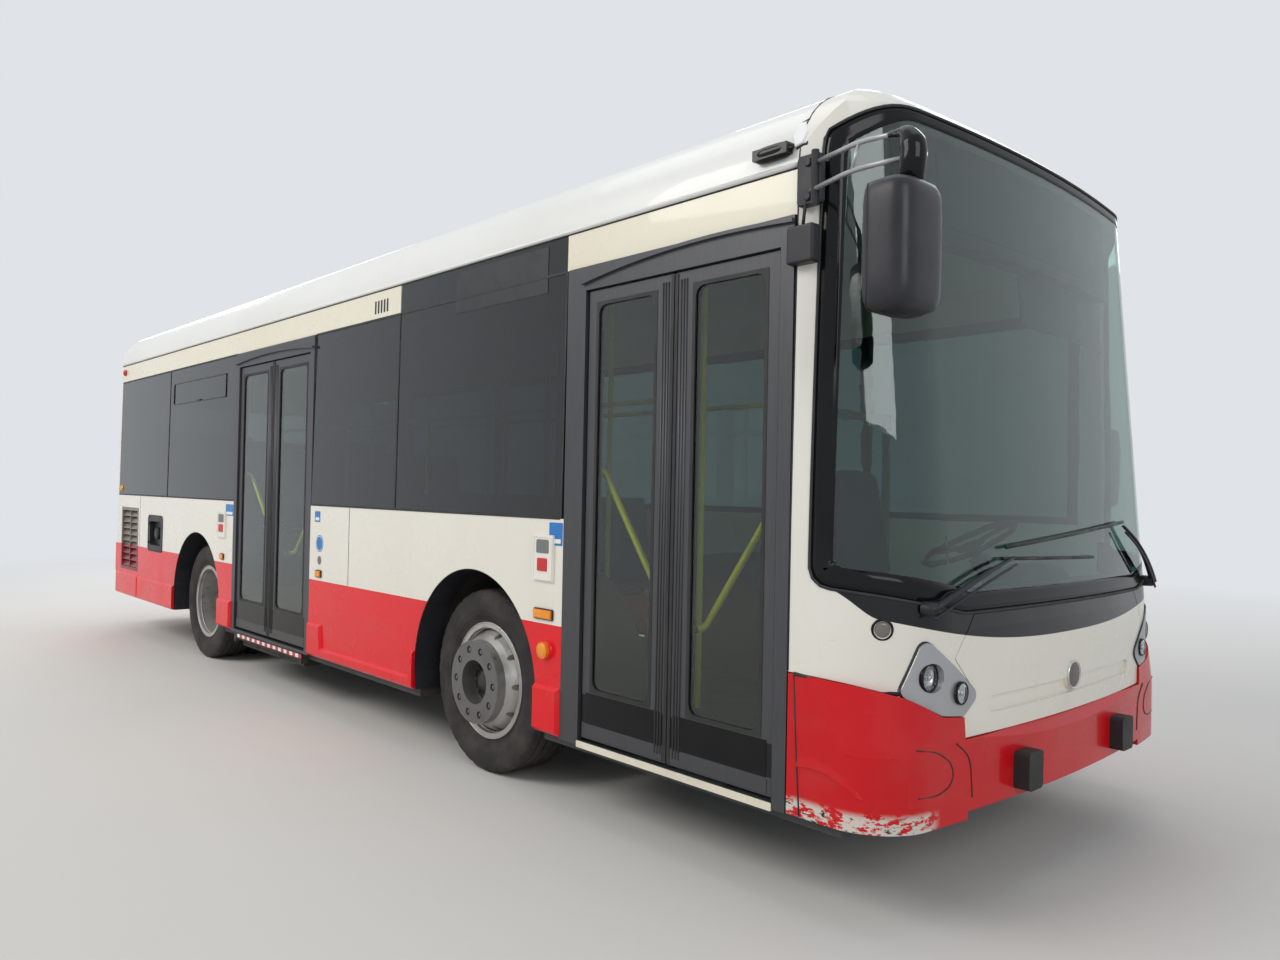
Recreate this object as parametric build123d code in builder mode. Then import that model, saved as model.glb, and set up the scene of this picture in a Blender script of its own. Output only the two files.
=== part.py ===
from build123d import *
from math import atan, atan2, cos, degrees, radians, sin, sqrt
import os

os.makedirs("parts", exist_ok=True)

# Overall sizes in millimetres: X runs forward, Y to the left, Z up from the ground
overall_length = 9360
body_width = 2450
roof_height = 2985
wheelbase = 4185
front_overhang = 2530
mirror_reach = 140
rear_bumper_reach = 80

# Heights of the body's bands
skirt_z = 345
rib_top_z = 560
low_rib_z = 415
stripe_z = 842
belt_z = 1330
cream_band = 175
door_header = 108
roof_rise = 350

# Walls and clearances
wall = 50
seat_gap = 0.3
panel_gap = 4
side_lean = 12
shoulder_radius = 330

# Floors
floor_z = 335
floor_thickness = 40
rear_floor_z = 620
bench_floor_z = 850

# Wheels and arches
tyre_radius = 470
tyre_width = 276
tyre_face_inset = 88
twin_gap = 34
bead_radius = 285
arch_radius = 560
arch_z = 490
stud_circle = 335
stud_count = 10
hand_hole_circle = 490
hand_hole_radius = 15
kingpin_y = 925
kingpin_radius = 20
eye_radius = 45
eye_reach = 70
yoke_gap = 5
yoke_thickness = 30
stub_y = 1000
spindle_radius = 54.6
stud_radius = 11
beam_half = 45
beam_low_z = 124
beam_high_z = 204.7

# Doorways: centre measured from the nearer axle, clear width between jambs
front_door_from_axle = 1424
front_door_width = 1100
middle_door_from_axle = 1530
middle_door_width = 1280
jamb = 61
front_pillar = 128
leaf_gap = 12
jamb_depth = 40
sill_low_z = 335
sill_top_z = 355
roller_setback = 15
door_angle = 80
hinge_radius = 8
post_stile = 50
free_stile = 94
top_stile = 52
glass_low_z = 575
glass_groove = 12
rail_setback = 50
rail_radius = 14
hood_reach = 16
ramp_margin = 60
leaf_meeting_gap = 12
leaf_thickness = 34
leaf_recess = 14
leaf_bottom_z = 372
leaf_top_clearance = 7
post_radius = 18
post_setback = 35
line_setback = 40
arm_thickness = 15
arm_gap = 6
roller_radius = 12

# Front mask
mask_depth = 489
front_radius = 8000
corner_radius = 400
rake_z = 1000
rake_slope = 0.083
brow_z = 2850
flap_top_z = 1050
flap_bottom_z = 622
screen_edge_from_nose = 410
skin = 8
flap_recess_depth = 14
recess_outline = [(-640, 690), (640, 690), (640, 752), (-640, 752)]
disc_z = 760
disc_reach = 8
stop_reach = 45
bumper_low_z = 368
step_reach = 18
pane_thickness = 8
post_depth = 36
tail_radius = 150
hatch_rise = 30
engine_door_half = 880
engine_door_top = 1440
hinge_reach = 10
hinge_places = (-560, 560)
front_box_inner = 545
rear_box_inner = 505
driver_floor_z = 520
rail_low_z = 205
rail_place_y = 380
rail_half = 40
rail_front_setback = 400
member_half = 700
jack_pad_half = 60
jack_pad_depth = 12

# Inside, setbacks measured from the nose
dash_setback = 580
dash_right_y = 520
steering_setback = 760
steering_y = 560
steering_z = 1230
steering_radius = 225
column_angle = 30
column_top = 75
driver_seat_setback = 1460
partition_setback = 1575
box_seat_z = 690
seat_width = 430
seat_side_gap = 8
seat_bar_height = 355
rail_y = 262
rail_z = 1965
pole_radius = 17
slat_count = 9
mirror_y = 1400
mirror_z = 2215
left_mirror_z = 1640
mirror_arm_radius = 13
mirror_width = 240
mirror_height = 430
mirror_depth = 120
disc_radius = 58
bumper_corner = 245
lamp_table = [(968, 847, 50, 114), (830, 785, 40, 57)]
flange = 30
bezel_reach = 8

# Places that follow from the sizes above
half_length = overall_length / 2
half_width = body_width / 2
nose_x = half_length - mirror_reach
front_axle_x = nose_x - front_overhang
rear_axle_x = front_axle_x - wheelbase
rear_wall_x = -half_length + rear_bumper_reach
mask_x = nose_x - mask_depth
skin_nose_x = nose_x - 12
gutter_z = roof_height - roof_rise
window_top_z = gutter_z - cream_band
door_top_z = window_top_z - door_header
gutter_half_width = half_width - side_lean
lean = atan(side_lean / (gutter_z - belt_z))
rear_face_x = rear_wall_x + 70
tyre_y = half_width - tyre_face_inset - tyre_width / 2
eye_low_z = tyre_radius - eye_reach
eye_high_z = tyre_radius + eye_reach
screen_edge_x = nose_x - screen_edge_from_nose
filler_x = rear_axle_x - 1122
filler_z = 988
filler_width = 430
filler_height = 330
band_end = arch_radius - 60
grille_x = rear_axle_x - 1944
grille_z = 902
grille_width = 566
grille_height = 612
mirror_x = half_length - mirror_depth / 2
floor_half = half_width - wall - seat_gap
floor_low = floor_z - floor_thickness
box_outer = arch_radius + 22
rear_step_x = rear_axle_x + box_outer + 40
rear_bench_x = rear_axle_x - box_outer - 20
wheel_box_table = ((front_axle_x, front_box_inner), (rear_axle_x, rear_box_inner))
hinge_z = engine_door_top + 3
hatch_places = (rear_axle_x + 300, front_axle_x - 300)
cross_members = (rear_axle_x + 900, rear_axle_x + 2260, front_axle_x - 900, front_axle_x + 800,
                 front_axle_x + 1900)
jack_places = (rear_axle_x - 1425, front_axle_x + 990)
rail_inner = rail_place_y - rail_half - seat_gap
rail_outer = rail_place_y + rail_half + seat_gap
dash_x = nose_x - dash_setback
steering_x = nose_x - steering_setback
driver_seat_x = nose_x - driver_seat_setback
partition_x = nose_x - partition_setback

# Doorways as (name, centre x, clear width, dark jamb behind, dark jamb ahead)
doorways = [
    ("middle", rear_axle_x + middle_door_from_axle, middle_door_width, jamb, jamb),
    ("front", front_axle_x + front_door_from_axle, front_door_width, front_pillar, jamb),
]


def door_edges(door):
    name, centre, clear, behind, ahead = door
    rear, front = centre - clear / 2, centre + clear / 2
    return rear - behind, rear, front, front + ahead


middle_outer_rear, middle_rear, middle_front, middle_outer_front = door_edges(doorways[0])
front_outer_rear, front_rear, front_front, front_outer_front = door_edges(doorways[1])


# Planes and outlines
def side_plane(side, depth):
    """Upright plane at depth inside a side wall; side is -1 on the right and 1 on the left."""
    return Plane(origin=(0, side * (half_width - depth), 0), x_dir=(-side, 0, 0), z_dir=(0, side, 0))


def leaning_plane(side, depth):
    """Plane of the wall above the belt, origin at the belt line."""
    plane = Plane(
        origin=(0, side * half_width, belt_z),
        x_dir=(-side, 0, 0),
        z_dir=(0, side * cos(lean), sin(lean)),
    )
    return plane.offset(-depth)


def side_box(side, x0, x1, z0, z1, depth, thickness):
    """Plate on an upright side plane."""
    with BuildSketch(side_plane(side, depth)) as face:
        with Locations((-side * (x0 + x1) / 2, (z0 + z1) / 2)):
            Rectangle(x1 - x0, z1 - z0)
    extrude(face.sketch, amount=-thickness)


def leaning_box(side, x0, x1, z0, z1, depth, thickness):
    """Plate on the leaning plane above the belt."""
    with BuildSketch(leaning_plane(side, depth)) as face:
        with Locations((-side * (x0 + x1) / 2, (z0 + z1) / 2 - belt_z)):
            Rectangle(x1 - x0, z1 - z0)
    extrude(face.sketch, amount=-thickness)


def box(x0, x1, y0, y1, z0, z1, mode=Mode.ADD):
    """Upright block between two corners."""
    with BuildSketch(Plane.XY.offset(z0)) as face:
        with Locations(((x0 + x1) / 2, (y0 + y1) / 2)):
            Rectangle(x1 - x0, y1 - y0)
    extrude(face.sketch, amount=z1 - z0, mode=mode)


def upright(x, y, radius, z0, z1, mode=Mode.ADD):
    """Round bar along Z."""
    with BuildSketch(Plane.XY.offset(z0)) as face:
        with Locations((x, y)):
            Circle(radius)
    extrude(face.sketch, amount=z1 - z0, mode=mode)


def crosswise(x, z, radius, y0, y1, mode=Mode.ADD):
    """Round bar along Y."""
    with BuildSketch(Plane.XZ.offset(-y0)) as face:
        with Locations((x, z)):
            Circle(radius)
    extrude(face.sketch, amount=y0 - y1, mode=mode)


def front_prism(points, radii, x0, x1, mode=Mode.ADD, grow=0):
    """Outline in (y, z) seen from the front, run along X; grow widens it all round."""
    with BuildSketch(Plane.YZ.offset(x0)) as face:
        with BuildLine():
            FilletPolyline(*points, radius=radii, close=True)
        make_face()
        if grow:
            offset(amount=grow, mode=Mode.REPLACE)
    extrude(face.sketch, amount=x1 - x0, mode=mode)


def mirrored(points):
    """The same outline on the other side of the bus."""
    return [(-y, z) for y, z in reversed(points)]


def body_section(inset, bottom_z, x):
    """Cross-section of the body: leaning sides, round shoulders and a shallow crown."""
    side = half_width - inset
    centre = gutter_half_width - shoulder_radius
    shoulder = shoulder_radius - inset
    eave = centre + shoulder
    with BuildSketch(Plane.YZ.offset(x)) as section:
        with BuildLine():
            Polyline((-eave, gutter_z), (-side, belt_z), (-side, bottom_z), (side, bottom_z),
                     (side, belt_z), (eave, gutter_z))
            CenterArc((centre, gutter_z), shoulder, 0, 90)
            CenterArc((-centre, gutter_z), shoulder, 90, 90)
            ThreePointArc((centre, gutter_z + shoulder), (0, roof_height - inset),
                          (-centre, gutter_z + shoulder))
        make_face()
    return section.sketch


def nose_plan(inset, nose, corner, z, back_x):
    """Plan of the nose: one large front arc, tangent corner arcs and straight sides."""
    front_centre = nose - front_radius
    corner_y = half_width - corner
    corner_x = front_centre + sqrt((front_radius - corner) ** 2 - corner_y ** 2)
    turn = degrees(atan2(corner_y, corner_x - front_centre))
    side = half_width - inset
    with BuildSketch(Plane.XY.offset(z)) as plan:
        with BuildLine():
            CenterArc((front_centre, 0), front_radius - inset, -turn, 2 * turn)
            CenterArc((corner_x, corner_y), corner - inset, turn, 90 - turn)
            CenterArc((corner_x, -corner_y), corner - inset, -90, 90 - turn)
            Polyline((corner_x, side), (back_x, side), (back_x, -side), (corner_x, -side))
        make_face()
    return plan.sketch


# Brow where the nose bends back into the roof, as (height, setback from the raked nose)
brow_table = [(brow_z, 0), (brow_z + 32, 28), (brow_z + 75, 82), (brow_z + 112, 150),
              (roof_height + 10, 300)]


def raked_plan(inset, z, back_x):
    """Plan of the raked nose at one height."""
    return nose_plan(inset, skin_nose_x - rake_slope * (z - rake_z), corner_radius, z, back_x)


# Front of the body, upright below the flap's top and raked back above it
def front_body(inset, back_x, bottom_z):
    slices = [(rake_z, inset)] + [(z - inset, inset + setback) for z, setback in brow_table]
    with BuildPart() as body:
        add(nose_plan(inset, skin_nose_x, corner_radius, bottom_z, back_x - 400))
        extrude(amount=rake_z - bottom_z)
        for (low_z, low_inset), (high_z, high_inset) in zip(slices, slices[1:]):
            loft([raked_plan(low_inset, low_z, back_x - 400), raked_plan(high_inset, high_z, back_x - 400)],
                 ruled=True)
        extrude(body_section(inset, bottom_z, back_x), amount=mask_depth + 100, mode=Mode.INTERSECT)
    return body.part


def screen_opening(margin):
    """The windscreen's outline: round top corners, wrapped past both corners of the nose."""
    reach = half_width + 30
    low, high, sill = flap_top_z + 6 + margin, brow_z - margin, 1150 + margin
    edge = screen_edge_x + margin
    with BuildPart() as opening:
        front_prism([(-reach, sill), (-790, low), (790, low), (reach, sill), (reach, high), (-reach, high)],
                    [10, 60, 60, 10, 320, 320], mask_x - 50, nose_x + 60)
        with BuildSketch(Plane.XZ) as side_view:
            with BuildLine():
                FilletPolyline((edge, high + 40), (edge, sill + 2), (edge + 150, sill - 22),
                               (nose_x + 70, low - 150), (nose_x + 70, high + 40),
                               radius=[200, 70, 30, 5, 5], close=True)
            make_face()
        extrude(amount=body_width, both=True, mode=Mode.INTERSECT)
    return opening.part


# Outlines in the front view, as (y, z) on the right-hand side
flap_corner = [(-735, flap_top_z), (-850, 905), (-722, 768), (-795, 700), (-795, flap_bottom_z)]
lamp_outline = [(-1002, 985), (-1078, 792), (-925, 716), (-806, 702), (-716, 768)]
bumper_line = [(-half_width - 40, 838), (-half_width, 838), (-1080, 792), (-925, 716), (-800, 700),
               (-795, flap_bottom_z)]
flap_outline = flap_corner + mirrored(flap_corner)
bumper_region = bumper_line + mirrored(bumper_line) + [(half_width + 40, 300), (-half_width - 40, 300)]
lamp_outlines = [lamp_outline, mirrored(lamp_outline)]

# The nose in layers: a thin outer skin that the glass, flap and bezels fill, and the wall behind it
front_outer = front_body(0, mask_x, 560)
front_skin_inner = front_body(skin + seat_gap, mask_x - 20, 540)
front_panel_inner = front_body(skin, mask_x - 20, 540)
front_inner = front_body(wall, mask_x - 40, 520)
front_bezel_outer = front_body(-bezel_reach, mask_x - 20, 540)

with BuildPart() as mask_skin:
    add(front_outer)
    add(front_skin_inner, mode=Mode.SUBTRACT)
    add(screen_opening(0), mode=Mode.SUBTRACT)
    front_prism(bumper_region, 1, mask_x - 20, nose_x + 80, mode=Mode.SUBTRACT)
    front_prism(flap_outline, 8, mask_x + 60, nose_x + 80, mode=Mode.SUBTRACT, grow=panel_gap)
    for outline in lamp_outlines:
        front_prism(outline, 30, mask_x + 60, nose_x + 80, mode=Mode.SUBTRACT, grow=panel_gap)

with BuildPart() as mask_wall:
    add(front_outer & front_skin_inner)
    add(front_inner, mode=Mode.SUBTRACT)
    add(screen_opening(45), mode=Mode.SUBTRACT)
    front_prism(bumper_region, 1, mask_x - 20, nose_x + 80, mode=Mode.SUBTRACT)
    front_prism(flap_outline, 8, mask_x + 60, nose_x + 80, mode=Mode.SUBTRACT, grow=-flange)
    for outline in lamp_outlines:
        front_prism(outline, 30, mask_x + 60, nose_x + 80, mode=Mode.SUBTRACT, grow=-flange)

with BuildPart() as front_mask:
    add(mask_skin.part)
    add(mask_wall.part)

with BuildPart() as windscreen:
    add(front_outer)
    add(front_panel_inner, mode=Mode.SUBTRACT)
    add(screen_opening(3), mode=Mode.INTERSECT)


# Flap under the windscreen: skin, stiff frame behind it, a shallow long recess and a bare round disc
with BuildPart() as flap_skin:
    front_prism(flap_outline, 8, mask_x + 60, nose_x + 80)
    add(front_outer - front_panel_inner, mode=Mode.INTERSECT)
with BuildPart() as flap_frame:
    front_prism(flap_outline, 8, mask_x + 60, nose_x + 80, grow=-flange - 3)
    add(front_panel_inner - front_inner, mode=Mode.INTERSECT)
with BuildPart() as flap_recess:
    front_prism(recess_outline, 25, nose_x - 70, nose_x + 40)
    extrude(nose_plan(flap_recess_depth, skin_nose_x, corner_radius, 600, mask_x), amount=300,
            mode=Mode.SUBTRACT)
with BuildPart() as front_flap:
    add(flap_skin.part)
    add(flap_frame.part)
    add(flap_recess.part, mode=Mode.SUBTRACT)
    with BuildSketch(Plane.YZ.offset(skin_nose_x - 40)) as disc:
        with Locations((0, disc_z)):
            Circle(disc_radius)
    extrude(disc.sketch, amount=40 + disc_reach)

# Headlamp bezels, each with a round recess and a raised lens for both lamps
with BuildPart() as bezel_skin:
    for outline in lamp_outlines:
        front_prism(outline, 30, mask_x + 60, nose_x + 80)
    add(front_bezel_outer - front_panel_inner, mode=Mode.INTERSECT)
with BuildPart() as lamp_bodies:
    for outline in lamp_outlines:
        front_prism(outline, 30, mask_x + 60, nose_x + 80, grow=-flange - 3)
    add(front_panel_inner - front_inner, mode=Mode.INTERSECT)
with BuildPart() as headlamps:
    add(bezel_skin.part)
    add(lamp_bodies.part)
    for side in (-1, 1):
        for y, z, radius, front in lamp_table:
            with BuildSketch(Plane.YZ.offset(nose_x - front)) as recess:
                with Locations((side * y, z)):
                    Circle(radius)
            extrude(recess.sketch, amount=150, mode=Mode.SUBTRACT)
            with BuildSketch(Plane.YZ.offset(nose_x - front - 2)) as lens:
                with Locations((side * y, z)):
                    Circle(radius - 9)
            extrude(lens.sketch, amount=14)


# Front bumper: fuller corners than the mask, a sloped shelf on top and a raised lower edge
def bumper_body(inset):
    with BuildPart() as body:
        add(nose_plan(inset, nose_x, bumper_corner, skirt_z - 5, mask_x - 20))
        extrude(amount=rib_top_z + 40 - skirt_z)
        low = nose_plan(inset, nose_x, bumper_corner, rib_top_z + 35, mask_x - 20)
        high = nose_plan(inset, skin_nose_x + 4, corner_radius - 40, stripe_z + 5, mask_x - 20)
        loft([low, high], ruled=True)
    return body.part


bumper_outer = bumper_body(0)
bumper_inner = bumper_body(wall)
with BuildPart() as bumper_band:
    front_prism(bumper_region, 1, mask_x + seat_gap, nose_x + 80, grow=-panel_gap)
with BuildPart() as front_bumper:
    add(bumper_outer)
    add(bumper_inner, mode=Mode.SUBTRACT)
    add(bumper_band.part, mode=Mode.INTERSECT)
    with BuildSketch(Plane.XZ) as shelf:
        with BuildLine():
            Polyline((nose_x - 48, 640), (nose_x + 20, 540), (nose_x + 20, 640), close=True)
        make_face()
    extrude(shelf.sketch, amount=790, both=True, mode=Mode.SUBTRACT)
    box(nose_x - 200, nose_x + 20, -780, 780, 300, bumper_low_z, mode=Mode.SUBTRACT)

with BuildPart() as bump_stops:
    for side in (-1, 1):
        front_prism([(side * 435 - side * 57, 395), (side * 435 + side * 57, 395),
                     (side * 435 + side * 57, 535), (side * 435 - side * 57, 535)][::side],
                    18, nose_x - 40, nose_x + stop_reach)
    extrude(nose_plan(-seat_gap, nose_x, bumper_corner, 380, mask_x), amount=200, mode=Mode.SUBTRACT)


# Round arch cut through one side at a wheel
def arch_cut(side, axle_x):
    crosswise(axle_x, arch_z, arch_radius, side * (half_width - 120), side * (half_width + 60),
              mode=Mode.SUBTRACT)
    box(axle_x - arch_radius, axle_x + arch_radius, min(side * (half_width - 120), side * (half_width + 60)),
        max(side * (half_width - 120), side * (half_width + 60)), 0, arch_z, mode=Mode.SUBTRACT)


# Lower body panels as (side, rear x, front x), broken at the doors and at real seams
rear_seam_x = rear_axle_x - 1615
mid_seam_x = front_axle_x - 810
lower_panels = [
    (-1, rear_face_x, rear_seam_x),
    (-1, rear_seam_x, middle_outer_rear),
    (-1, middle_outer_front, front_outer_rear),
    (1, rear_face_x, rear_seam_x),
    (1, rear_seam_x, rear_axle_x + 1500),
    (1, rear_axle_x + 1500, mid_seam_x),
    (1, mid_seam_x, mask_x),
]
axles_x = (front_axle_x, rear_axle_x)


def cut_arches():
    for side in (-1, 1):
        for axle in axles_x:
            arch_cut(side, axle)


def cut_grille():
    with BuildSketch(side_plane(-1, -10)) as opening:
        with Locations((grille_x, grille_z)):
            Rectangle(grille_width, grille_height)
    extrude(opening.sketch, amount=-wall - 20, mode=Mode.SUBTRACT)


def cut_filler():
    with BuildSketch(side_plane(-1, -10)) as recess:
        with Locations((filler_x, filler_z)):
            RectangleRounded(filler_width, filler_height, 45)
    extrude(recess.sketch, amount=-wall - 20, mode=Mode.SUBTRACT)


with BuildPart() as side_panels:
    for side, x0, x1 in lower_panels:
        side_box(side, x0 + seat_gap, x1 - seat_gap, stripe_z, belt_z, 0, wall)
    cut_arches()
    cut_grille()
    cut_filler()

# Cream panels above the windows as (side, rear x, front x)
cream_panels = [
    (-1, rear_face_x, mid_seam_x - 12),
    (-1, front_outer_rear - 20, mask_x),
    (1, rear_face_x, mid_seam_x),
    (1, mid_seam_x, mask_x),
]
with BuildPart() as cream_bands:
    for side, x0, x1 in cream_panels:
        leaning_box(side, x0 + seat_gap, x1 - seat_gap, window_top_z, gutter_z, 0, wall)

# Red skirts with the raised step along their foot
def step_band(side, points):
    """Raised band on the skirt, its outline in (x, z), with every outer edge sloped."""
    outline = [(-side * x, z) for x, z in points]
    with BuildPart() as band:
        with BuildSketch(side_plane(side, 0)) as face:
            with BuildLine():
                Polyline(*outline, close=True)
            make_face()
        extrude(face.sketch, amount=step_reach)
        outer = band.faces().sort_by(Axis.Y)[0 if side < 0 else -1]
        chamfer(outer.edges(), length=step_reach - 2)
    return band.part


def full_band(x0, x1):
    return [(x0, skirt_z), (x1, skirt_z), (x1, rib_top_z), (x0, rib_top_z)]


def dipped_band(x0, x1):
    """Step that stands high at both ends and low between them."""
    return [(x0, skirt_z), (x1, skirt_z), (x1, rib_top_z), (x1 - 95, rib_top_z), (x1 - 115, low_rib_z),
            (x0 + 220, low_rib_z), (x0 + 200, rib_top_z), (x0, rib_top_z)]


step_bands = []
for side, x0, x1 in lower_panels:
    ends = [x0 + 2]
    for axle in sorted(axles_x):
        if x0 < axle < x1:
            ends += [axle - band_end, axle + band_end]
    ends.append(x1 - 2)
    for start, end in zip(ends[::2], ends[1::2]):
        dipped = end - start > 1200 and start > rear_axle_x
        step_bands.append(step_band(side, dipped_band(start, end) if dipped else full_band(start, end)))

with BuildPart() as side_skirts:
    for side, x0, x1 in lower_panels:
        side_box(side, x0 + seat_gap, x1 - seat_gap, skirt_z, stripe_z - seat_gap, 0, wall)
    for band in step_bands:
        add(band)
    cut_arches()
    cut_grille()
    cut_filler()

# Window glass as (side, rear x, front x, top); the pane ahead of the right front wheel reaches the gutter
rear_pane_x = rear_axle_x - 808
panes = [
    (-1, rear_face_x, rear_pane_x, window_top_z),
    (-1, rear_pane_x, middle_outer_rear, window_top_z),
    (-1, middle_outer_front, mid_seam_x - 12, window_top_z),
    (-1, mid_seam_x - 12, front_outer_rear - 20, gutter_z),
    (1, rear_face_x, rear_pane_x, window_top_z),
    (1, rear_pane_x, rear_pane_x + 1650, window_top_z),
    (1, rear_pane_x + 1650, mid_seam_x - 1250, window_top_z),
    (1, mid_seam_x - 1250, mid_seam_x, window_top_z),
    (1, mid_seam_x, front_outer_rear - 20, window_top_z),
    (1, front_outer_rear - 20, mask_x, window_top_z),
]
with BuildPart() as window_panes:
    for side, x0, x1, top in panes:
        leaning_box(side, x0 + 3, x1 - 3, belt_z + seat_gap, top - seat_gap, 1, pane_thickness)
    box(rear_wall_x + 4, rear_wall_x + 4 + pane_thickness, -880, 880, 1520, 2300)

# Window posts and rails behind the glass, clear of the opened door leaves
ladder_runs = [
    (-1, rear_face_x, middle_outer_rear - 60, [rear_pane_x]),
    (-1, middle_outer_front + 60, front_outer_rear - 20, [mid_seam_x - 12]),
    (1, rear_face_x, mask_x, [rear_pane_x, rear_pane_x + 1650, mid_seam_x - 1250, mid_seam_x,
                              front_outer_rear - 20]),
]
with BuildPart() as window_posts:
    for side, x0, x1, seams in ladder_runs:
        depth = pane_thickness + 1 + seat_gap
        sill = belt_z + 2 * seat_gap + post_depth * sin(lean)
        leaning_box(side, x0 + 1, x1 - 1, sill, belt_z + 40, depth, post_depth)
        leaning_box(side, x0 + 1, x1 - 1, window_top_z - 60, window_top_z - seat_gap, depth, post_depth)
        for x in [x0 + 1, x1 - 61] + [seam - 30 for seam in seams]:
            leaning_box(side, x, x + 60, sill, window_top_z - seat_gap, depth, post_depth)


# Roof shell with closed rear end and two hatches
def roof_body(inset):
    with BuildPart() as body:
        section = body_section(inset, belt_z - 100, rear_wall_x + inset)
        extrude(section, amount=mask_x - rear_wall_x + (30 if inset else -seat_gap))
        tail_x, crown_z = rear_wall_x + inset, roof_height + 4 - inset
        with BuildSketch(Plane.XZ) as profile:
            with BuildLine():
                TangentArc((tail_x + tail_radius, crown_z), (tail_x, crown_z - tail_radius), tangent=(-1, 0))
                Polyline((tail_x, crown_z - tail_radius), (tail_x, gutter_z - 400),
                         (mask_x + 60, gutter_z - 400), (mask_x + 60, crown_z),
                         (tail_x + tail_radius, crown_z))
            make_face()
        extrude(profile.sketch, amount=body_width, both=True, mode=Mode.INTERSECT)
    return body.part


with BuildPart() as roof:
    add(roof_body(0))
    add(roof_body(wall), mode=Mode.SUBTRACT)
    box(-overall_length, overall_length, -body_width, body_width, 0, gutter_z + seat_gap, mode=Mode.SUBTRACT)
    for x in hatch_places:
        with BuildSketch(Plane.XY.offset(roof_height - 40)) as hatch:
            with Locations((x, 0)):
                RectangleRounded(900, 700, 60)
        extrude(hatch.sketch, amount=40 + hatch_rise)


# Rear end: mask with the rear window, bumper and engine door
def rear_body(inset, x0, low_z, high_z):
    side = half_width - inset
    round_corner = max(50 - inset, 5)
    with BuildPart() as body:
        with BuildSketch(Plane.XY.offset(low_z)) as plan:
            with BuildLine():
                FilletPolyline((rear_face_x + 10, -side), (x0, -side), (x0, side), (rear_face_x + 10, side),
                               radius=[round_corner, round_corner])
                Line((rear_face_x + 10, side), (rear_face_x + 10, -side))
            make_face()
        extrude(plan.sketch, amount=high_z - low_z)
        extrude(body_section(inset, low_z - 10, x0 - 50), amount=400, mode=Mode.INTERSECT)
    return body.part


with BuildPart() as rear_mask:
    add(rear_body(0, rear_wall_x, stripe_z, gutter_z))
    add(rear_body(wall, rear_wall_x + wall, stripe_z - 20, gutter_z + 20), mode=Mode.SUBTRACT)
    box(rear_face_x - seat_gap, rear_face_x + 60, -body_width, body_width, 0, roof_height, mode=Mode.SUBTRACT)
    box(rear_wall_x - 10, rear_wall_x + 4 + pane_thickness + seat_gap, -883, 883, 1517, 2303,
        mode=Mode.SUBTRACT)
    box(rear_wall_x - 10, rear_wall_x + 100, -840, 840, 1560, 2260, mode=Mode.SUBTRACT)
    box(rear_wall_x - 10, rear_wall_x + 100, -engine_door_half, engine_door_half, 700, engine_door_top + 6,
        mode=Mode.SUBTRACT)
    for y in hinge_places:
        for y0, y1 in ((y - 60, y - 30 - seat_gap), (y + 30 + seat_gap, y + 60)):
            box(rear_wall_x - hinge_reach, rear_wall_x + 5, y0, y1, hinge_z, hinge_z + 45)
            crosswise(rear_wall_x - hinge_reach, hinge_z, 8, y0, y1)

with BuildPart() as rear_bumper:
    with BuildSketch(Plane.XY.offset(skirt_z + 20)) as plan:
        with BuildLine():
            FilletPolyline((rear_face_x, -half_width), (rear_wall_x - rear_bumper_reach, -half_width),
                           (rear_wall_x - rear_bumper_reach, half_width), (rear_face_x, half_width),
                           radius=[110, 110])
            Line((rear_face_x, half_width), (rear_face_x, -half_width))
        make_face()
    extrude(plan.sketch, amount=rib_top_z - skirt_z - 20)
    box(rear_wall_x, rear_face_x, -half_width, half_width, rib_top_z, stripe_z - seat_gap)
    for x, z0, z1 in ((rear_wall_x - 30, skirt_z, rib_top_z), (rear_wall_x + wall, rib_top_z, stripe_z)):
        box(x, rear_face_x + 10, -half_width + wall, half_width - wall, z0, z1, mode=Mode.SUBTRACT)
    box(rear_wall_x - 20, rear_wall_x + 100, -engine_door_half - 6, engine_door_half + 6, rib_top_z, stripe_z,
        mode=Mode.SUBTRACT)
    box(rear_face_x - seat_gap, rear_face_x + 10, -half_width - 1, half_width + 1, skirt_z, stripe_z,
        mode=Mode.SUBTRACT)

with BuildPart() as engine_door:
    box(rear_wall_x, rear_wall_x + 40, -engine_door_half + 6, engine_door_half - 6, rib_top_z + 8,
        engine_door_top)
    for z in (760, 900, 1040):
        box(rear_wall_x - 1, rear_wall_x + 14, -600, 600, z, z + 70, mode=Mode.SUBTRACT)
    for y in hinge_places:
        box(rear_wall_x - hinge_reach, rear_wall_x + 5, y - 30, y + 30, engine_door_top - 50, hinge_z)
        crosswise(rear_wall_x - hinge_reach, hinge_z, 8, y - 30, y + 30)

# Engine as one plain block on the rails
with BuildPart() as engine:
    box(rear_wall_x + 220, rear_axle_x - 720, -420, 420, floor_low + seat_gap, bench_floor_z - 60)

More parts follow.
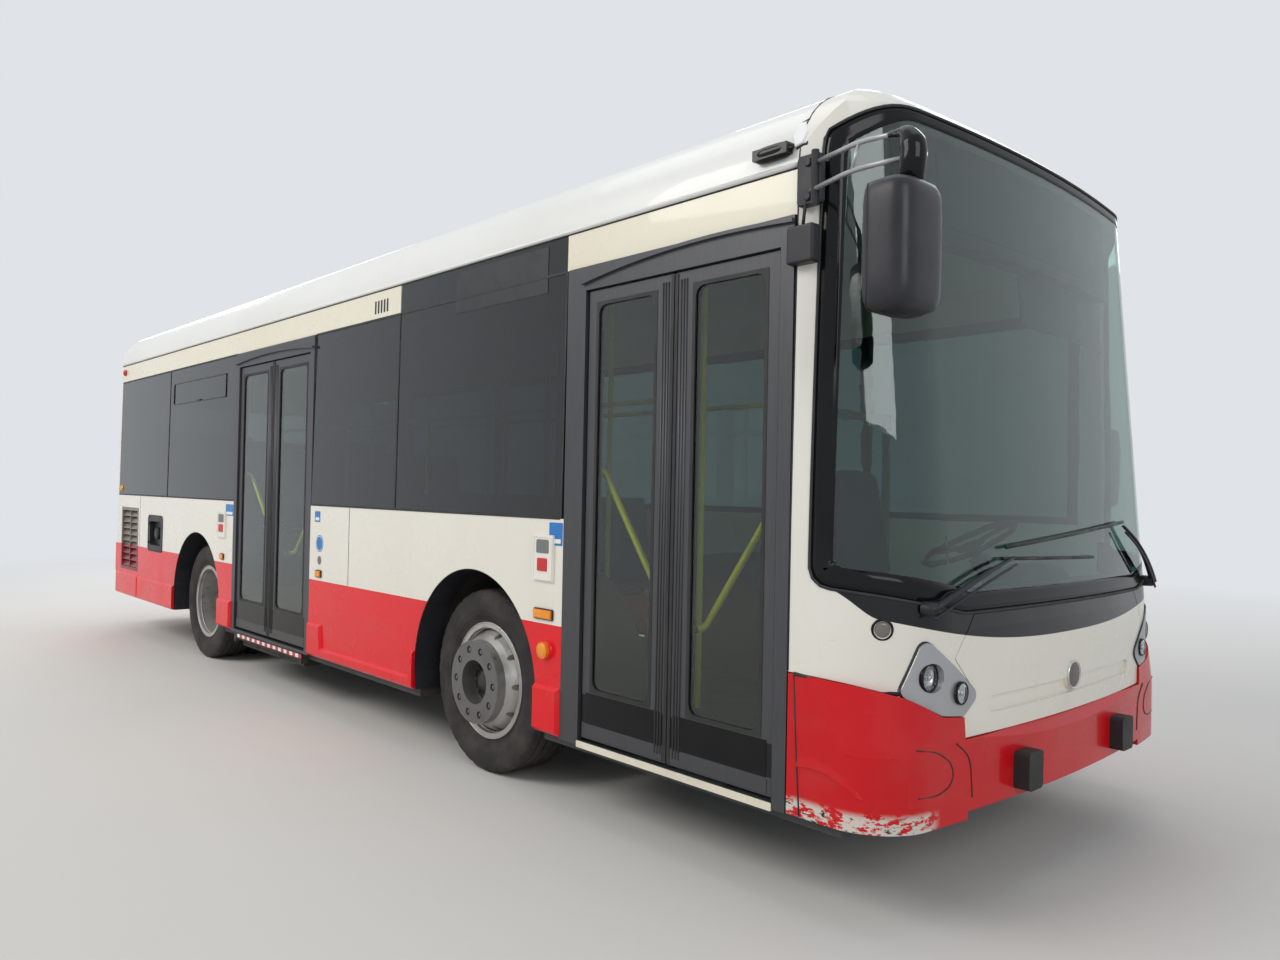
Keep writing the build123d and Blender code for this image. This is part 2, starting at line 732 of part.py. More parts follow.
# Floor with its steps up to the rear, cut round the wheel boxes, with the driver's platform
with BuildPart() as floor:
    with BuildSketch(Plane.XZ) as profile:
        with BuildLine():
            Polyline((mask_x + 200, floor_low), (mask_x + 200, floor_z), (rear_step_x, floor_z),
                     (rear_step_x, rear_floor_z), (rear_bench_x, rear_floor_z), (rear_bench_x, bench_floor_z),
                     (rear_face_x, bench_floor_z), (rear_face_x, bench_floor_z - floor_thickness),
                     (rear_bench_x - 40, bench_floor_z - floor_thickness),
                     (rear_bench_x - 40, rear_floor_z - floor_thickness),
                     (rear_step_x - 40, rear_floor_z - floor_thickness), (rear_step_x - 40, floor_low),
                     close=True)
        make_face()
    extrude(profile.sketch, amount=floor_half, both=True)
    for axle, inner in wheel_box_table:
        for side in (-1, 1):
            y0, y1 = sorted((side * (inner - seat_gap), side * half_width))
            box(axle - box_outer - seat_gap, axle + box_outer + seat_gap, y0, y1, 0, 1200,
                mode=Mode.SUBTRACT)
    box(front_axle_x + box_outer + 380, mask_x + 200, 120, floor_half - 10, floor_z - 10, driver_floor_z)

# Wheel boxes over the tyres
with BuildPart() as wheel_boxes:
    for axle, inner in wheel_box_table:
        low = floor_low if axle == front_axle_x else rear_floor_z - floor_thickness
        for side in (-1, 1):
            for radius, y0, y1, mode in ((box_outer, inner, floor_half, Mode.ADD),
                                         (box_outer - 12, inner + 12, floor_half + 5, Mode.SUBTRACT)):
                with BuildSketch(Plane(origin=(axle, side * y0, arch_z), x_dir=(1, 0, 0),
                                       z_dir=(0, side, 0))) as arch:
                    Circle(radius)
                    with Locations((0, side * radius / 2)):
                        Rectangle(2 * radius, radius)
                extrude(arch.sketch, amount=y1 - y0, mode=mode)
    box(-overall_length, rear_axle_x + 1000, -body_width, body_width, -200, rear_floor_z - floor_thickness,
        mode=Mode.SUBTRACT)
    box(rear_axle_x + 1000, overall_length, -body_width, body_width, -200, floor_low, mode=Mode.SUBTRACT)

# Chassis: two rails with jacking pads, cross members in runs between and outside them, and a tank
with BuildPart() as chassis:
    for side in (-1, 1):
        y0, y1 = side * rail_place_y - rail_half, side * rail_place_y + rail_half
        box(rear_wall_x + 200, nose_x - rail_front_setback, y0, y1, rail_low_z, floor_low)
        for x in jack_places:
            box(x - jack_pad_half, x + jack_pad_half, y0, y1, rail_low_z - jack_pad_depth,
                rail_low_z - seat_gap)
    for x in cross_members:
        for y0, y1 in ((-member_half, -rail_outer), (-rail_inner, rail_inner), (rail_outer, member_half)):
            box(x - 40, x + 40, y0, y1, rail_low_z + 20, floor_low)
    box(rear_axle_x + 2350, rear_axle_x + 3000, rail_outer, 1050, rail_low_z - 10, floor_low)

# Axles: a dropped beam with kingpin eyes in front, a drive axle behind
with BuildPart() as axles:
    with BuildSketch(Plane.YZ.offset(front_axle_x - beam_half)) as beam:
        with BuildLine():
            Polyline((-kingpin_y, eye_low_z), (-870, eye_low_z), (-600, beam_low_z), (600, beam_low_z),
                     (870, eye_low_z), (kingpin_y, eye_low_z), (kingpin_y, eye_high_z), (870, eye_high_z),
                     (560, beam_high_z), (-560, beam_high_z), (-870, eye_high_z), (-kingpin_y, eye_high_z),
                     close=True)
        make_face()
    extrude(beam.sketch, amount=2 * beam_half)
    for side in (-1, 1):
        upright(front_axle_x, side * kingpin_y, eye_radius, eye_low_z, eye_high_z)
    for side in (-1, 1):
        upright(front_axle_x, side * kingpin_y, kingpin_radius + seat_gap, eye_low_z - 5, eye_high_z + 5,
                mode=Mode.SUBTRACT)
    crosswise(rear_axle_x, tyre_radius, 70, -620, 620)
    crosswise(rear_axle_x, tyre_radius, 100, -130, 130)
    for side in (-1, 1):
        crosswise(rear_axle_x, tyre_radius, spindle_radius, side * 610, side * 880)
        box(rear_axle_x - 60, rear_axle_x + 60, side * rail_place_y - rail_half,
            side * rail_place_y + rail_half, floor_low + seat_gap, tyre_radius - 20)


# Steering knuckle: a yoke round the eye, its kingpin and the stub axle
def knuckle(side):
    with BuildPart() as piece:
        for z0, z1 in ((eye_low_z - yoke_gap - yoke_thickness, eye_low_z - yoke_gap),
                       (eye_high_z + yoke_gap, eye_high_z + yoke_gap + yoke_thickness)):
            upright(front_axle_x, side * kingpin_y, eye_radius + 5, z0, z1)
            y0, y1 = sorted((side * kingpin_y, side * stub_y))
            box(front_axle_x - eye_radius - 5, front_axle_x + eye_radius + 5, y0, y1, z0, z1)
        y0, y1 = sorted((side * (kingpin_y + eye_radius + yoke_gap), side * stub_y))
        box(front_axle_x - eye_radius - 5, front_axle_x + eye_radius + 5, y0, y1,
            eye_low_z - yoke_gap - yoke_thickness, eye_high_z + yoke_gap + yoke_thickness)
        upright(front_axle_x, side * kingpin_y, kingpin_radius, eye_low_z - yoke_gap - 5,
                eye_high_z + yoke_gap + 5)
        crosswise(front_axle_x, tyre_radius, spindle_radius, side * (stub_y - 5), side * (stub_y + 90))
    return piece


knuckle_left = knuckle(1)
knuckle_right = knuckle(-1)


# Wheels: sections are (radius, distance across from the tyre's centre, outward positive)
def wheel_plane(axle_x, side, centre_y):
    return Plane(origin=(axle_x, side * centre_y, tyre_radius), x_dir=(0, 0, 1), z_dir=(-side, 0, 0))


def spun(axle_x, side, centre_y, points, radii=None, mode=Mode.ADD):
    """Section turned about the wheel's axis; a negative side mirrors it."""
    with BuildSketch(wheel_plane(axle_x, side, centre_y)) as section:
        with BuildLine():
            if radii:
                FilletPolyline(*points, radius=radii, close=True)
            else:
                Polyline(*points, close=True)
        make_face()
    revolve(section.sketch, Axis((axle_x, 0, tyre_radius), (0, 1, 0)), mode=mode)


half_tyre = tyre_width / 2
widest_radius = bead_radius + (tyre_radius - bead_radius) * 15 / 37
tread_edge_radius = tyre_radius - 30
tyre_section = [
    (bead_radius + seat_gap, -100), (bead_radius + 15, -104), (widest_radius, -half_tyre),
    (tread_edge_radius, -half_tyre + 6), (tyre_radius, -half_tyre + 26), (tyre_radius, half_tyre - 26),
    (tread_edge_radius, half_tyre - 6), (widest_radius, half_tyre), (bead_radius + 15, 104),
    (bead_radius + seat_gap, 100),
]
tyre_fillets = [2, 4, 40, 40, 16, 16, 40, 40, 4, 2]
barrel_section = [(270, -112), (298, -112), (298, -106), (bead_radius, -103), (bead_radius, 103), (298, 106),
                  (298, 112), (270, 112)]
front_disc_section = [(276, 52), (236, 120), (212, 150), (212, 200), (112, 200), (112, 125), (0, 125),
                      (0, 100), (spindle_radius + seat_gap, 100), (spindle_radius + seat_gap, 15), (110, 15),
                      (110, 110), (200, 118), (222, 100), (258, 38)]
inner_centre_y = tyre_y - tyre_width - twin_gap


def tyre(axle_x, side, centres):
    with BuildPart() as piece:
        for centre_y in centres:
            spun(axle_x, side, centre_y, tyre_section, tyre_fillets)
    return piece


def bar_ring(axle_x, side, ring_radius, face_y, radius, height, mode=Mode.ADD):
    """Ring of round bars, one for each stud; the right wheels stand half a stud further round."""
    turned = 0.5 if side < 0 else 0
    for number in range(stud_count):
        angle = radians(360 / stud_count * (number + turned))
        x = axle_x + ring_radius * sin(angle)
        z = tyre_radius + ring_radius * cos(angle)
        crosswise(x, z, radius, side * face_y, side * (face_y + height), mode=mode)


def front_rim(side):
    with BuildPart() as piece:
        spun(front_axle_x, side, tyre_y, barrel_section)
        spun(front_axle_x, side, tyre_y, front_disc_section)
        bar_ring(front_axle_x, side, stud_circle / 2, tyre_y + 165, 19, 40, mode=Mode.SUBTRACT)
        bar_ring(front_axle_x, side, stud_circle / 2, tyre_y + 160, stud_radius, 35)
        bar_ring(front_axle_x, side, hand_hole_circle / 2, tyre_y + 10, hand_hole_radius, 130,
                 mode=Mode.SUBTRACT)
    return piece


def rear_rim(side):
    with BuildPart() as piece:
        spun(rear_axle_x, side, tyre_y, barrel_section)
        spun(rear_axle_x, side, inner_centre_y, barrel_section)
        spun(rear_axle_x, side, tyre_y, outer_disc_section)
        spun(rear_axle_x, side, inner_centre_y, inner_disc_section)
        spun(rear_axle_x, side, 0, rear_hub_section)
        bar_ring(rear_axle_x, side, stud_circle / 2, dish_y + 20, stud_radius, 45)
    return piece


dish_y = 832
outer_disc_section = [(276, dish_y + 118 - tyre_y), (230, dish_y + 24 - tyre_y), (100, dish_y + 24 - tyre_y),
                      (100, dish_y - tyre_y), (240, dish_y - tyre_y), (276, dish_y + 73 - tyre_y)]
inner_disc_section = [(r, 2 * dish_y - tyre_y - y - inner_centre_y) for r, y in reversed(outer_disc_section)]
rear_hub_section = [(0, 900), (spindle_radius + seat_gap, 900), (spindle_radius + seat_gap, 626), (105, 626),
                    (105, 1010), (60, 1050), (0, 1050)]

tyre_front_left = tyre(front_axle_x, 1, [tyre_y])
tyre_front_right = tyre(front_axle_x, -1, [tyre_y])
tyre_rear_left = tyre(rear_axle_x, 1, [tyre_y, inner_centre_y])
tyre_rear_right = tyre(rear_axle_x, -1, [tyre_y, inner_centre_y])
rim_front_left = front_rim(1)
rim_front_right = front_rim(-1)
rim_rear_left = rear_rim(1)
rim_rear_right = rear_rim(-1)

# Door frames: jambs, header, sill, guide rail for the leaves' rollers and rain hood
line_y = -(half_width - leaf_recess - leaf_thickness / 2 - line_setback)
leaf_outer_y = -(half_width - leaf_recess)
leaf_inner_y = leaf_outer_y + leaf_thickness
leaf_top_z = door_top_z - leaf_top_clearance
channel_z = leaf_top_z + arm_gap + arm_thickness + arm_gap
guide_z = channel_z + 20


def leaf_places(door):
    """For both leaves: direction from post to free end, clear edge, leaf width, linkage length."""
    name, centre, clear, behind, ahead = door
    width = clear / 2 - leaf_gap - leaf_meeting_gap / 2
    length = width + roller_setback
    return [(1, centre - clear / 2, width, length), (-1, centre + clear / 2, width, length)]


def post_x(leaf):
    direction, edge, width, length = leaf
    return edge + direction * (leaf_gap - post_setback)


# Rain hoods as outlines (x, z) of the lower edge: arched over the middle door, sloped over the front one
hood_table = [
    [(middle_rear - 60, door_top_z + 20), (middle_rear + middle_door_width / 2, door_top_z + 52),
     (middle_front + 60, door_top_z + 20)],
    [(front_rear - 20, door_top_z + 26), (front_rear + front_door_width / 2 + 10, door_top_z + 86),
     (front_front + 60, door_top_z + 78)],
]

jamb_y = -half_width + jamb_depth
frame_top_z = window_top_z - wall * sin(lean) - 2 * seat_gap
with BuildPart() as door_frames:
    for door in doorways:
        outer_rear, rear, front, outer_front = door_edges(door)
        box(outer_rear + seat_gap, rear, -half_width, jamb_y, sill_low_z, frame_top_z)
        box(front, outer_front - seat_gap, -half_width, jamb_y, sill_low_z, frame_top_z)
        box(rear, front, -half_width, jamb_y, door_top_z, frame_top_z)
        box(rear, front, -half_width, -floor_half - seat_gap, sill_low_z, sill_top_z)
        places = leaf_places(door)
        ends = [post_x(leaf) - leaf[0] * 35 for leaf in places]
        box(ends[0], ends[1], jamb_y - 5, line_y + 30, guide_z, guide_z + 8)
        for direction, edge, width, length in places:
            reach = length * cos(radians(door_angle)) - 30
            start = post_x((direction, edge, width, length)) + direction * reach
            x0, x1 = sorted((start, door[1]))
            for y in (line_y - 25, line_y + 17):
                box(x0, x1, y, y + 8, channel_z, guide_z)
    for points in hood_table:
        rear_point, peak, front_point = points
        with BuildSketch(side_plane(-1, 3)) as hood:
            with BuildLine():
                ThreePointArc(*points)
                Line(front_point, (front_point[0], front_point[1] + 14))
                ThreePointArc((front_point[0], front_point[1] + 14), (peak[0], peak[1] + 14),
                              (rear_point[0], rear_point[1] + 14))
                Line((rear_point[0], rear_point[1] + 14), rear_point)
            make_face()
        extrude(hood.sketch, amount=3 + hood_reach)


# Door leaf's turning post with its two arms
def door_post(leaf):
    direction, edge, width, length = leaf
    x = post_x(leaf)
    reach = length / 2
    with BuildPart() as piece:
        upright(x, line_y, post_radius, floor_z + seat_gap, guide_z - seat_gap)
        for z in (leaf_bottom_z - arm_gap - arm_thickness, leaf_top_z + arm_gap):
            x0, x1 = sorted((x, x + direction * reach))
            box(x0, x1, line_y - 14, line_y + 14, z, z + arm_thickness)
            upright(x, line_y, post_radius + 5, z, z + arm_thickness)
            upright(x + direction * reach, line_y, 17, z, z + arm_thickness)
            upright(x + direction * reach, line_y, hinge_radius + 0.5, z, z + arm_thickness, mode=Mode.SUBTRACT)
    return piece


# Door leaf: frame round the glass, hinge brackets, guide roller and grab rail
def leaf_span(leaf):
    direction, edge, width, length = leaf
    return sorted((edge + direction * leaf_gap, edge + direction * (leaf_gap + width)))


def leaf_window(leaf, reach):
    """Corners in x and z of the leaf's window, each moved outward by reach."""
    direction, edge, width, length = leaf
    post_end = edge + direction * (leaf_gap + post_stile - reach)
    free_end = edge + direction * (leaf_gap + width - free_stile + reach)
    return *sorted((post_end, free_end)), glass_low_z - reach, leaf_top_z - top_stile + reach


def door_leaf(leaf, rail_points):
    direction, edge, width, length = leaf
    x = post_x(leaf)
    x0, x1 = leaf_span(leaf)
    hinge_x = x + direction * length / 2
    roller_x = x + direction * length
    with BuildPart() as piece:
        box(x0, x1, leaf_outer_y, leaf_inner_y, leaf_bottom_z, leaf_top_z)
        x0, x1, z0, z1 = leaf_window(leaf, 0)
        box(x0, x1, leaf_outer_y - 5, leaf_inner_y + 5, z0, z1, mode=Mode.SUBTRACT)
        x0, x1, z0, z1 = leaf_window(leaf, glass_groove)
        box(x0, x1, leaf_outer_y + 6 - seat_gap, leaf_outer_y + 6 + pane_thickness + seat_gap, z0, z1,
            mode=Mode.SUBTRACT)
        for bracket_x, z in ((hinge_x, leaf_bottom_z), (hinge_x, leaf_top_z - 12), (roller_x, leaf_top_z - 12)):
            box(bracket_x - 16, bracket_x + 16, leaf_inner_y - 5, line_y + 14, z, z + 12)
        upright(hinge_x, line_y, hinge_radius, leaf_bottom_z - arm_gap - arm_thickness, leaf_bottom_z + 5)
        upright(hinge_x, line_y, hinge_radius, leaf_top_z - 5, leaf_top_z + arm_gap + arm_thickness)
        upright(roller_x, line_y, 6, leaf_top_z - 5, guide_z - 4)
        upright(roller_x, line_y, roller_radius, channel_z + 2, guide_z - 4)
        grab_y = leaf_inner_y + rail_setback
        glass_y = leaf_outer_y + 6 + pane_thickness + seat_gap
        start, end = rail_points
        with BuildLine() as rail_line:
            FilletPolyline((start[0], leaf_inner_y - 4, start[1]), (start[0], grab_y, start[1]),
                           (end[0], grab_y, end[1]), (end[0], glass_y, end[1]), radius=30)
        with BuildSketch(Plane(origin=rail_line.line @ 0, z_dir=rail_line.line % 0)) as round_bar:
            Circle(rail_radius)
        sweep(round_bar.sketch, path=rail_line.line)
    return piece


def door_glass(leaf):
    x0, x1, z0, z1 = leaf_window(leaf, glass_groove - 1)
    with BuildPart() as piece:
        box(x0, x1, leaf_outer_y + 6, leaf_outer_y + 6 + pane_thickness, z0, z1)
    return piece


# Grab rails as (x, z) at both ends, for the rear leaf and then the front leaf of each doorway
stile_middle = leaf_gap + post_stile / 2
rail_table = {
    "middle": [((middle_rear + stile_middle, 1540), (middle_rear + 420, 1150)),
               ((middle_front - stile_middle, 1357), (middle_front - 400, 980))],
    "front": [((front_rear + stile_middle, 1555), (front_rear + 400, 1044)),
              ((front_front - stile_middle, 1488), (front_front - 430, 921))],
}
posts = {}
leaves = {}
glasses = {}
for door in doorways:
    for place, leaf, rail_points in zip(("rear", "front"), leaf_places(door), rail_table[door[0]]):
        key = f"{door[0]}_door_{place}"
        posts[key] = door_post(leaf)
        leaves[key] = door_leaf(leaf, rail_points)
        glasses[key] = door_glass(leaf)

# Ramp cassette under the middle door
with BuildPart() as ramp_cassette:
    ramp_rear, ramp_front = middle_rear + ramp_margin, middle_front - ramp_margin
    box(ramp_rear, ramp_front, -half_width - 3, -floor_half - seat_gap, floor_low - 5, sill_low_z - seat_gap)
    box(ramp_rear + 30, ramp_front - 30, -floor_half - 5, -620, rail_low_z + 30, floor_low - seat_gap)
    box(ramp_rear + 30, ramp_front - 30, -floor_half - 5, -floor_half + 20, rail_low_z + 30, floor_low)
    for x in (ramp_rear - 30, ramp_front):
        box(x, x + 30, -half_width - 3, -floor_half - seat_gap, floor_low - 30, sill_low_z - seat_gap)
    box(ramp_rear, ramp_front, -floor_half, -600, floor_low - seat_gap, floor_z + 50, mode=Mode.SUBTRACT)

# Dashboard under the windscreen, shaped to the inside of the nose, with the steering column
column_tilt = radians(column_angle)
column_plane = Plane(origin=(steering_x, steering_y, steering_z), x_dir=(0, 1, 0),
                     z_dir=(-sin(column_tilt), 0, cos(column_tilt)))
with BuildPart() as dashboard:
    with BuildSketch(Plane.XZ) as profile:
        with BuildLine():
            FilletPolyline((dash_x, floor_z + seat_gap), (dash_x, 1000), (dash_x + 60, 1060),
                           (dash_x + 240, 1085), (nose_x, 1040), (nose_x, floor_z + seat_gap),
                           radius=[5, 30, 40, 5, 5, 5], close=True)
        make_face()
    extrude(profile.sketch, amount=-(half_width - wall - 8))
    extrude(profile.sketch, amount=dash_right_y)
    box(mask_x + 195, nose_x, -half_width, half_width, 300, 640, mode=Mode.SUBTRACT)
    box(dash_x - 50, mask_x + 205, 115, half_width, 300, driver_floor_z + seat_gap, mode=Mode.SUBTRACT)
    add(front_body(wall + 6, mask_x - 120, 300), mode=Mode.INTERSECT)
    with BuildSketch(column_plane.offset(-column_top)) as column:
        Circle(42)
    extrude(column.sketch, amount=-420)

with BuildPart() as steering_wheel:
    with BuildSketch(Plane(origin=column_plane.origin, x_dir=column_plane.z_dir,
                           z_dir=column_plane.x_dir)) as rim:
        with Locations((0, steering_radius)):
            Circle(15)
    revolve(rim.sketch, Axis(column_plane.origin, column_plane.z_dir))
    with BuildSketch(column_plane.offset(-12)) as spokes:
        Circle(70)
        with Locations((0, -steering_radius / 2)):
            Rectangle(40, steering_radius)
        for angle in (20, 160):
            with Locations(Location((steering_radius / 2 * cos(radians(angle)),
                                     steering_radius / 2 * sin(radians(angle))), angle)):
                Rectangle(steering_radius, 36)
    extrude(spokes.sketch, amount=14)
    with BuildSketch(column_plane) as shaft:
        Circle(24)
    extrude(shaft.sketch, amount=-column_top + seat_gap)


# Seats in rows as (rear x, floor under the legs, height of the seat's own base, near y, far y)
seat_rows = [
    (front_axle_x - 1680, floor_z, floor_z, -1150, -300),
    (front_axle_x - 1055, floor_z, floor_z, -1150, -300),
    (rear_axle_x + 845, floor_z, floor_z, 300, 1150),
    (rear_axle_x + 1535, floor_z, floor_z, 300, 1150),
    (rear_axle_x + 2225, floor_z, floor_z, 300, 1150),
    (front_axle_x - 1270, floor_z, floor_z, 300, 1150),
    (rear_axle_x + 185, rear_floor_z, box_seat_z, -1150, -300),
    (rear_axle_x + 185, rear_floor_z, box_seat_z, 300, 1150),
    (rear_axle_x - 465, rear_floor_z, box_seat_z, -1150, -300),
    (rear_axle_x - 465, rear_floor_z, box_seat_z, 300, 1150),
    (rear_axle_x - 1275, bench_floor_z, bench_floor_z, -1150, -300),
    (rear_axle_x - 1275, bench_floor_z, bench_floor_z, 300, 1150),
    (rear_wall_x + 300, bench_floor_z, bench_floor_z, -1150, 1150),
]


def seat_row(rear_x, floor_height, base, y0, y1):
    """Row of seats, each a cushion and a backrest, on a cross bar with a leg at the aisle side."""
    count = round((y1 - y0) / seat_width)
    pitch = (y1 - y0) / count
    bar_z = base + seat_bar_height
    for number in range(count):
        low = y0 + number * pitch + seat_side_gap
        with BuildSketch(Plane.XZ.offset(-low)) as profile:
            with BuildLine():
                FilletPolyline((rear_x + 113, base + 398), (rear_x + 430, base + 414),
                               (rear_x + 430, base + 465), (rear_x + 105.5, base + 451),
                               radius=[4, 20, 20, 4], close=True)
            make_face()
            with BuildLine():
                FilletPolyline((rear_x + 58, base + 398), (rear_x + 112.4, base + 398),
                               (rear_x + 15, base + 1080), (rear_x - 40, base + 1075),
                               radius=[4, 4, 20, 20], close=True)
            make_face()
        extrude(profile.sketch, amount=-(pitch - 2 * seat_side_gap))
    box(rear_x + 160, rear_x + 220, y0 + seat_side_gap, y1 - seat_side_gap, bar_z, bar_z + 45)
    leg_y = y1 - 190 if y1 < 0 else y0 + 40
    box(rear_x + 150, rear_x + 230, leg_y, leg_y + 150, floor_height + seat_gap, bar_z - seat_gap)


with BuildPart() as seats:
    for row in seat_rows:
        seat_row(*row)

# Driver's seat, its side view as (ahead of the seat's own origin, above the driver's floor)
driver_seat_outline = [(60, 330), (500, 360), (500, 440), (140, 430), (60, 1110), (-50, 1100), (10, 400)]
with BuildPart() as driver_seat:
    with BuildSketch(Plane.XZ.offset(-steering_y + 240)) as profile:
        with BuildLine():
            FilletPolyline(*[(driver_seat_x + x, driver_floor_z + z) for x, z in driver_seat_outline],
                           radius=30, close=True)
        make_face()
    extrude(profile.sketch, amount=-480)
    upright(driver_seat_x + 270, steering_y, 90, driver_floor_z + seat_gap, driver_floor_z + 380)
    box(driver_seat_x + 100, driver_seat_x + 440, steering_y - 170, steering_y + 170,
        driver_floor_z + seat_gap, driver_floor_z + 30)

# Partition behind the driver, open above the middle for glass
with BuildPart() as driver_partition:
    box(partition_x - 30, partition_x, 300, floor_half - 60, floor_z + seat_gap, 1950)
    box(partition_x - 40, partition_x + 10, 345, floor_half - 105, 1180, 1905, mode=Mode.SUBTRACT)


# Handrails: poles from floor to ceiling with a run of rail between each two, as (x, floor)
def ceiling(y):
    """Height of the roof's inner face over the aisle."""
    crown_half = gutter_half_width - shoulder_radius
    drop = (roof_height - wall) - (gutter_z + shoulder_radius - wall)
    return roof_height - wall - drop * (y / crown_half) ** 2


pole_table = [(rear_axle_x - 655, bench_floor_z), (rear_axle_x + 155, rear_floor_z),
              (rear_axle_x + 755, floor_z), (rear_axle_x + 2075, floor_z), (front_axle_x - 1110, floor_z),
              (front_axle_x - 660, floor_z), (front_axle_x + 690, floor_z)]
with BuildPart() as handrails:
    for y in (-rail_y, rail_y):
        for x, low in pole_table:
            upright(x, y, pole_radius, low + seat_gap, ceiling(y) - seat_gap)
        for (rear_x, rear_low), (front_x, front_low) in zip(pole_table, pole_table[1:]):
            with BuildSketch(Plane.YZ.offset(rear_x + pole_radius + seat_gap)) as bar:
                with Locations((y, rail_z)):
                    Circle(pole_radius - 3)
            extrude(bar.sketch, amount=front_x - rear_x - 2 * (pole_radius + seat_gap))


# Nose surface, for what stands on it
def nose_point(y, z, reach):
    """Point that far ahead of the nose at (y, z)."""
    front_centre = skin_nose_x - front_radius
    corner_y = half_width - corner_radius
    corner_x = front_centre + sqrt((front_radius - corner_radius) ** 2 - corner_y ** 2)
    tangent_y = front_radius * sin(atan2(corner_y, corner_x - front_centre))
    if abs(y) < tangent_y:
        x = front_centre + sqrt(front_radius ** 2 - y ** 2)
    else:
        x = corner_x + sqrt(corner_radius ** 2 - (abs(y) - corner_y) ** 2)
    return Vector(x - rake_slope * max(z - rake_z, 0) + reach, y, z)


def bent_rod(start, middle, end, radius):
    """Round rod along an arc through three points."""
    with BuildLine() as route:
        ThreePointArc(start, middle, end)
    with BuildSketch(Plane(origin=start, z_dir=route.line % 0)) as section:
        Circle(radius)
    sweep(section.sketch, path=route.line)


# Mirrors as (side, housing x, housing z, bracket's front x, bracket's low z, high z, arms), and each
# arm as (start x, start z, elbow x, elbow z, end x): the right one hangs ahead, the left one beside the driver
mirror_table = [
    (-1, mirror_x, mirror_z, mask_x + 110, mirror_z + 260, mirror_z + 440,
     ((mask_x + 95, mirror_z + 405, mirror_x + 10, mirror_z + 340, mirror_x + 25),
      (mask_x + 70, mirror_z + 310, mirror_x - 60, mirror_z + 290, mirror_x - 25))),
    (1, mask_x + 42, left_mirror_z, mask_x + 74, left_mirror_z + 240, left_mirror_z + 370,
     ((mask_x + 60, left_mirror_z + 330, mask_x + 60, left_mirror_z + 325, mask_x + 60),
      (mask_x + 24, left_mirror_z + 330, mask_x + 24, left_mirror_z + 325, mask_x + 24))),
]
nose_seat = front_body(-seat_gap, mask_x - 20, 600)
with BuildPart() as mirrors:
    for side, x, z, bracket_x, low_z, high_z, arms in mirror_table:
        y0, y1 = sorted((side * (half_width + 12), side * (half_width - 75)))
        box(mask_x + 8, bracket_x, y0, y1, low_z, high_z)
    add(nose_seat, mode=Mode.SUBTRACT)
    for side, x, z, bracket_x, low_z, high_z, arms in mirror_table:
        for start_x, start_z, elbow_x, elbow_z, end_x in arms:
            with BuildLine() as route:
                FilletPolyline((start_x, side * (half_width + 4), start_z), (elbow_x, side * mirror_y, elbow_z),
                               (end_x, side * mirror_y, z + mirror_height / 2 - 20), radius=50)
            with BuildSketch(Plane(origin=route.line @ 0, z_dir=route.line % 0)) as section:
                Circle(mirror_arm_radius)
            sweep(section.sketch, path=route.line)
        with BuildSketch(Plane.XY.offset(z - mirror_height / 2)) as housing:
            with Locations((x, side * mirror_y)):
                RectangleRounded(mirror_depth, mirror_width, 45)
        extrude(housing.sketch, amount=mirror_height)

# Wipers as (pivot y, pivot z), (elbow y, z), (blade start y, z), (blade end y, z)
wiper_table = [
    ((-985, 1072), (-500, 1235), (-560, 1235), (200, 1222)),
    ((965, 1072), (520, 1350), (-540, 1285), (560, 1368)),
]
with BuildPart() as wipers:
    for pivot, elbow, blade_start, blade_end in wiper_table:
        with BuildSketch(Plane.YZ.offset(nose_point(*pivot, 0).X - 60)) as boss:
            with Locations(pivot):
                Circle(20)
        extrude(boss.sketch, amount=105)
    add(nose_seat, mode=Mode.SUBTRACT)
    for pivot, elbow, blade_start, blade_end in wiper_table:
        centre_y, centre_z = (pivot[0] + elbow[0]) / 2, (pivot[1] + elbow[1]) / 2
        bent_rod(nose_point(*pivot, 36), nose_point(centre_y, centre_z, 36), nose_point(*elbow, 16), 7)
        centre_y, centre_z = (blade_start[0] + blade_end[0]) / 2, (blade_start[1] + blade_end[1]) / 2
        bent_rod(nose_point(*blade_start, 16), nose_point(centre_y, centre_z, 16),
                 nose_point(*blade_end, 16), 9)

# Filler recess with its missing lid: frame, back wall and cap
with BuildPart() as filler_recess:
    filler_plane = side_plane(-1, 0)
    with BuildSketch(filler_plane.offset(3)) as outline:
        with Locations((filler_x, filler_z)):
            RectangleRounded(filler_width - 2 * seat_gap, filler_height - 2 * seat_gap, 44)
    extrude(outline.sketch, amount=-wall - 3)
    with BuildSketch(filler_plane.offset(4)) as pocket:
        with Locations((filler_x, filler_z)):
            RectangleRounded(filler_width - 110, filler_height - 110, 30)
    extrude(pocket.sketch, amount=-wall + 8, mode=Mode.SUBTRACT)
    with BuildSketch(filler_plane.offset(-wall + 10)) as cap:
        with Locations((filler_x, filler_z)):
            Circle(55)
    extrude(cap.sketch, amount=26)

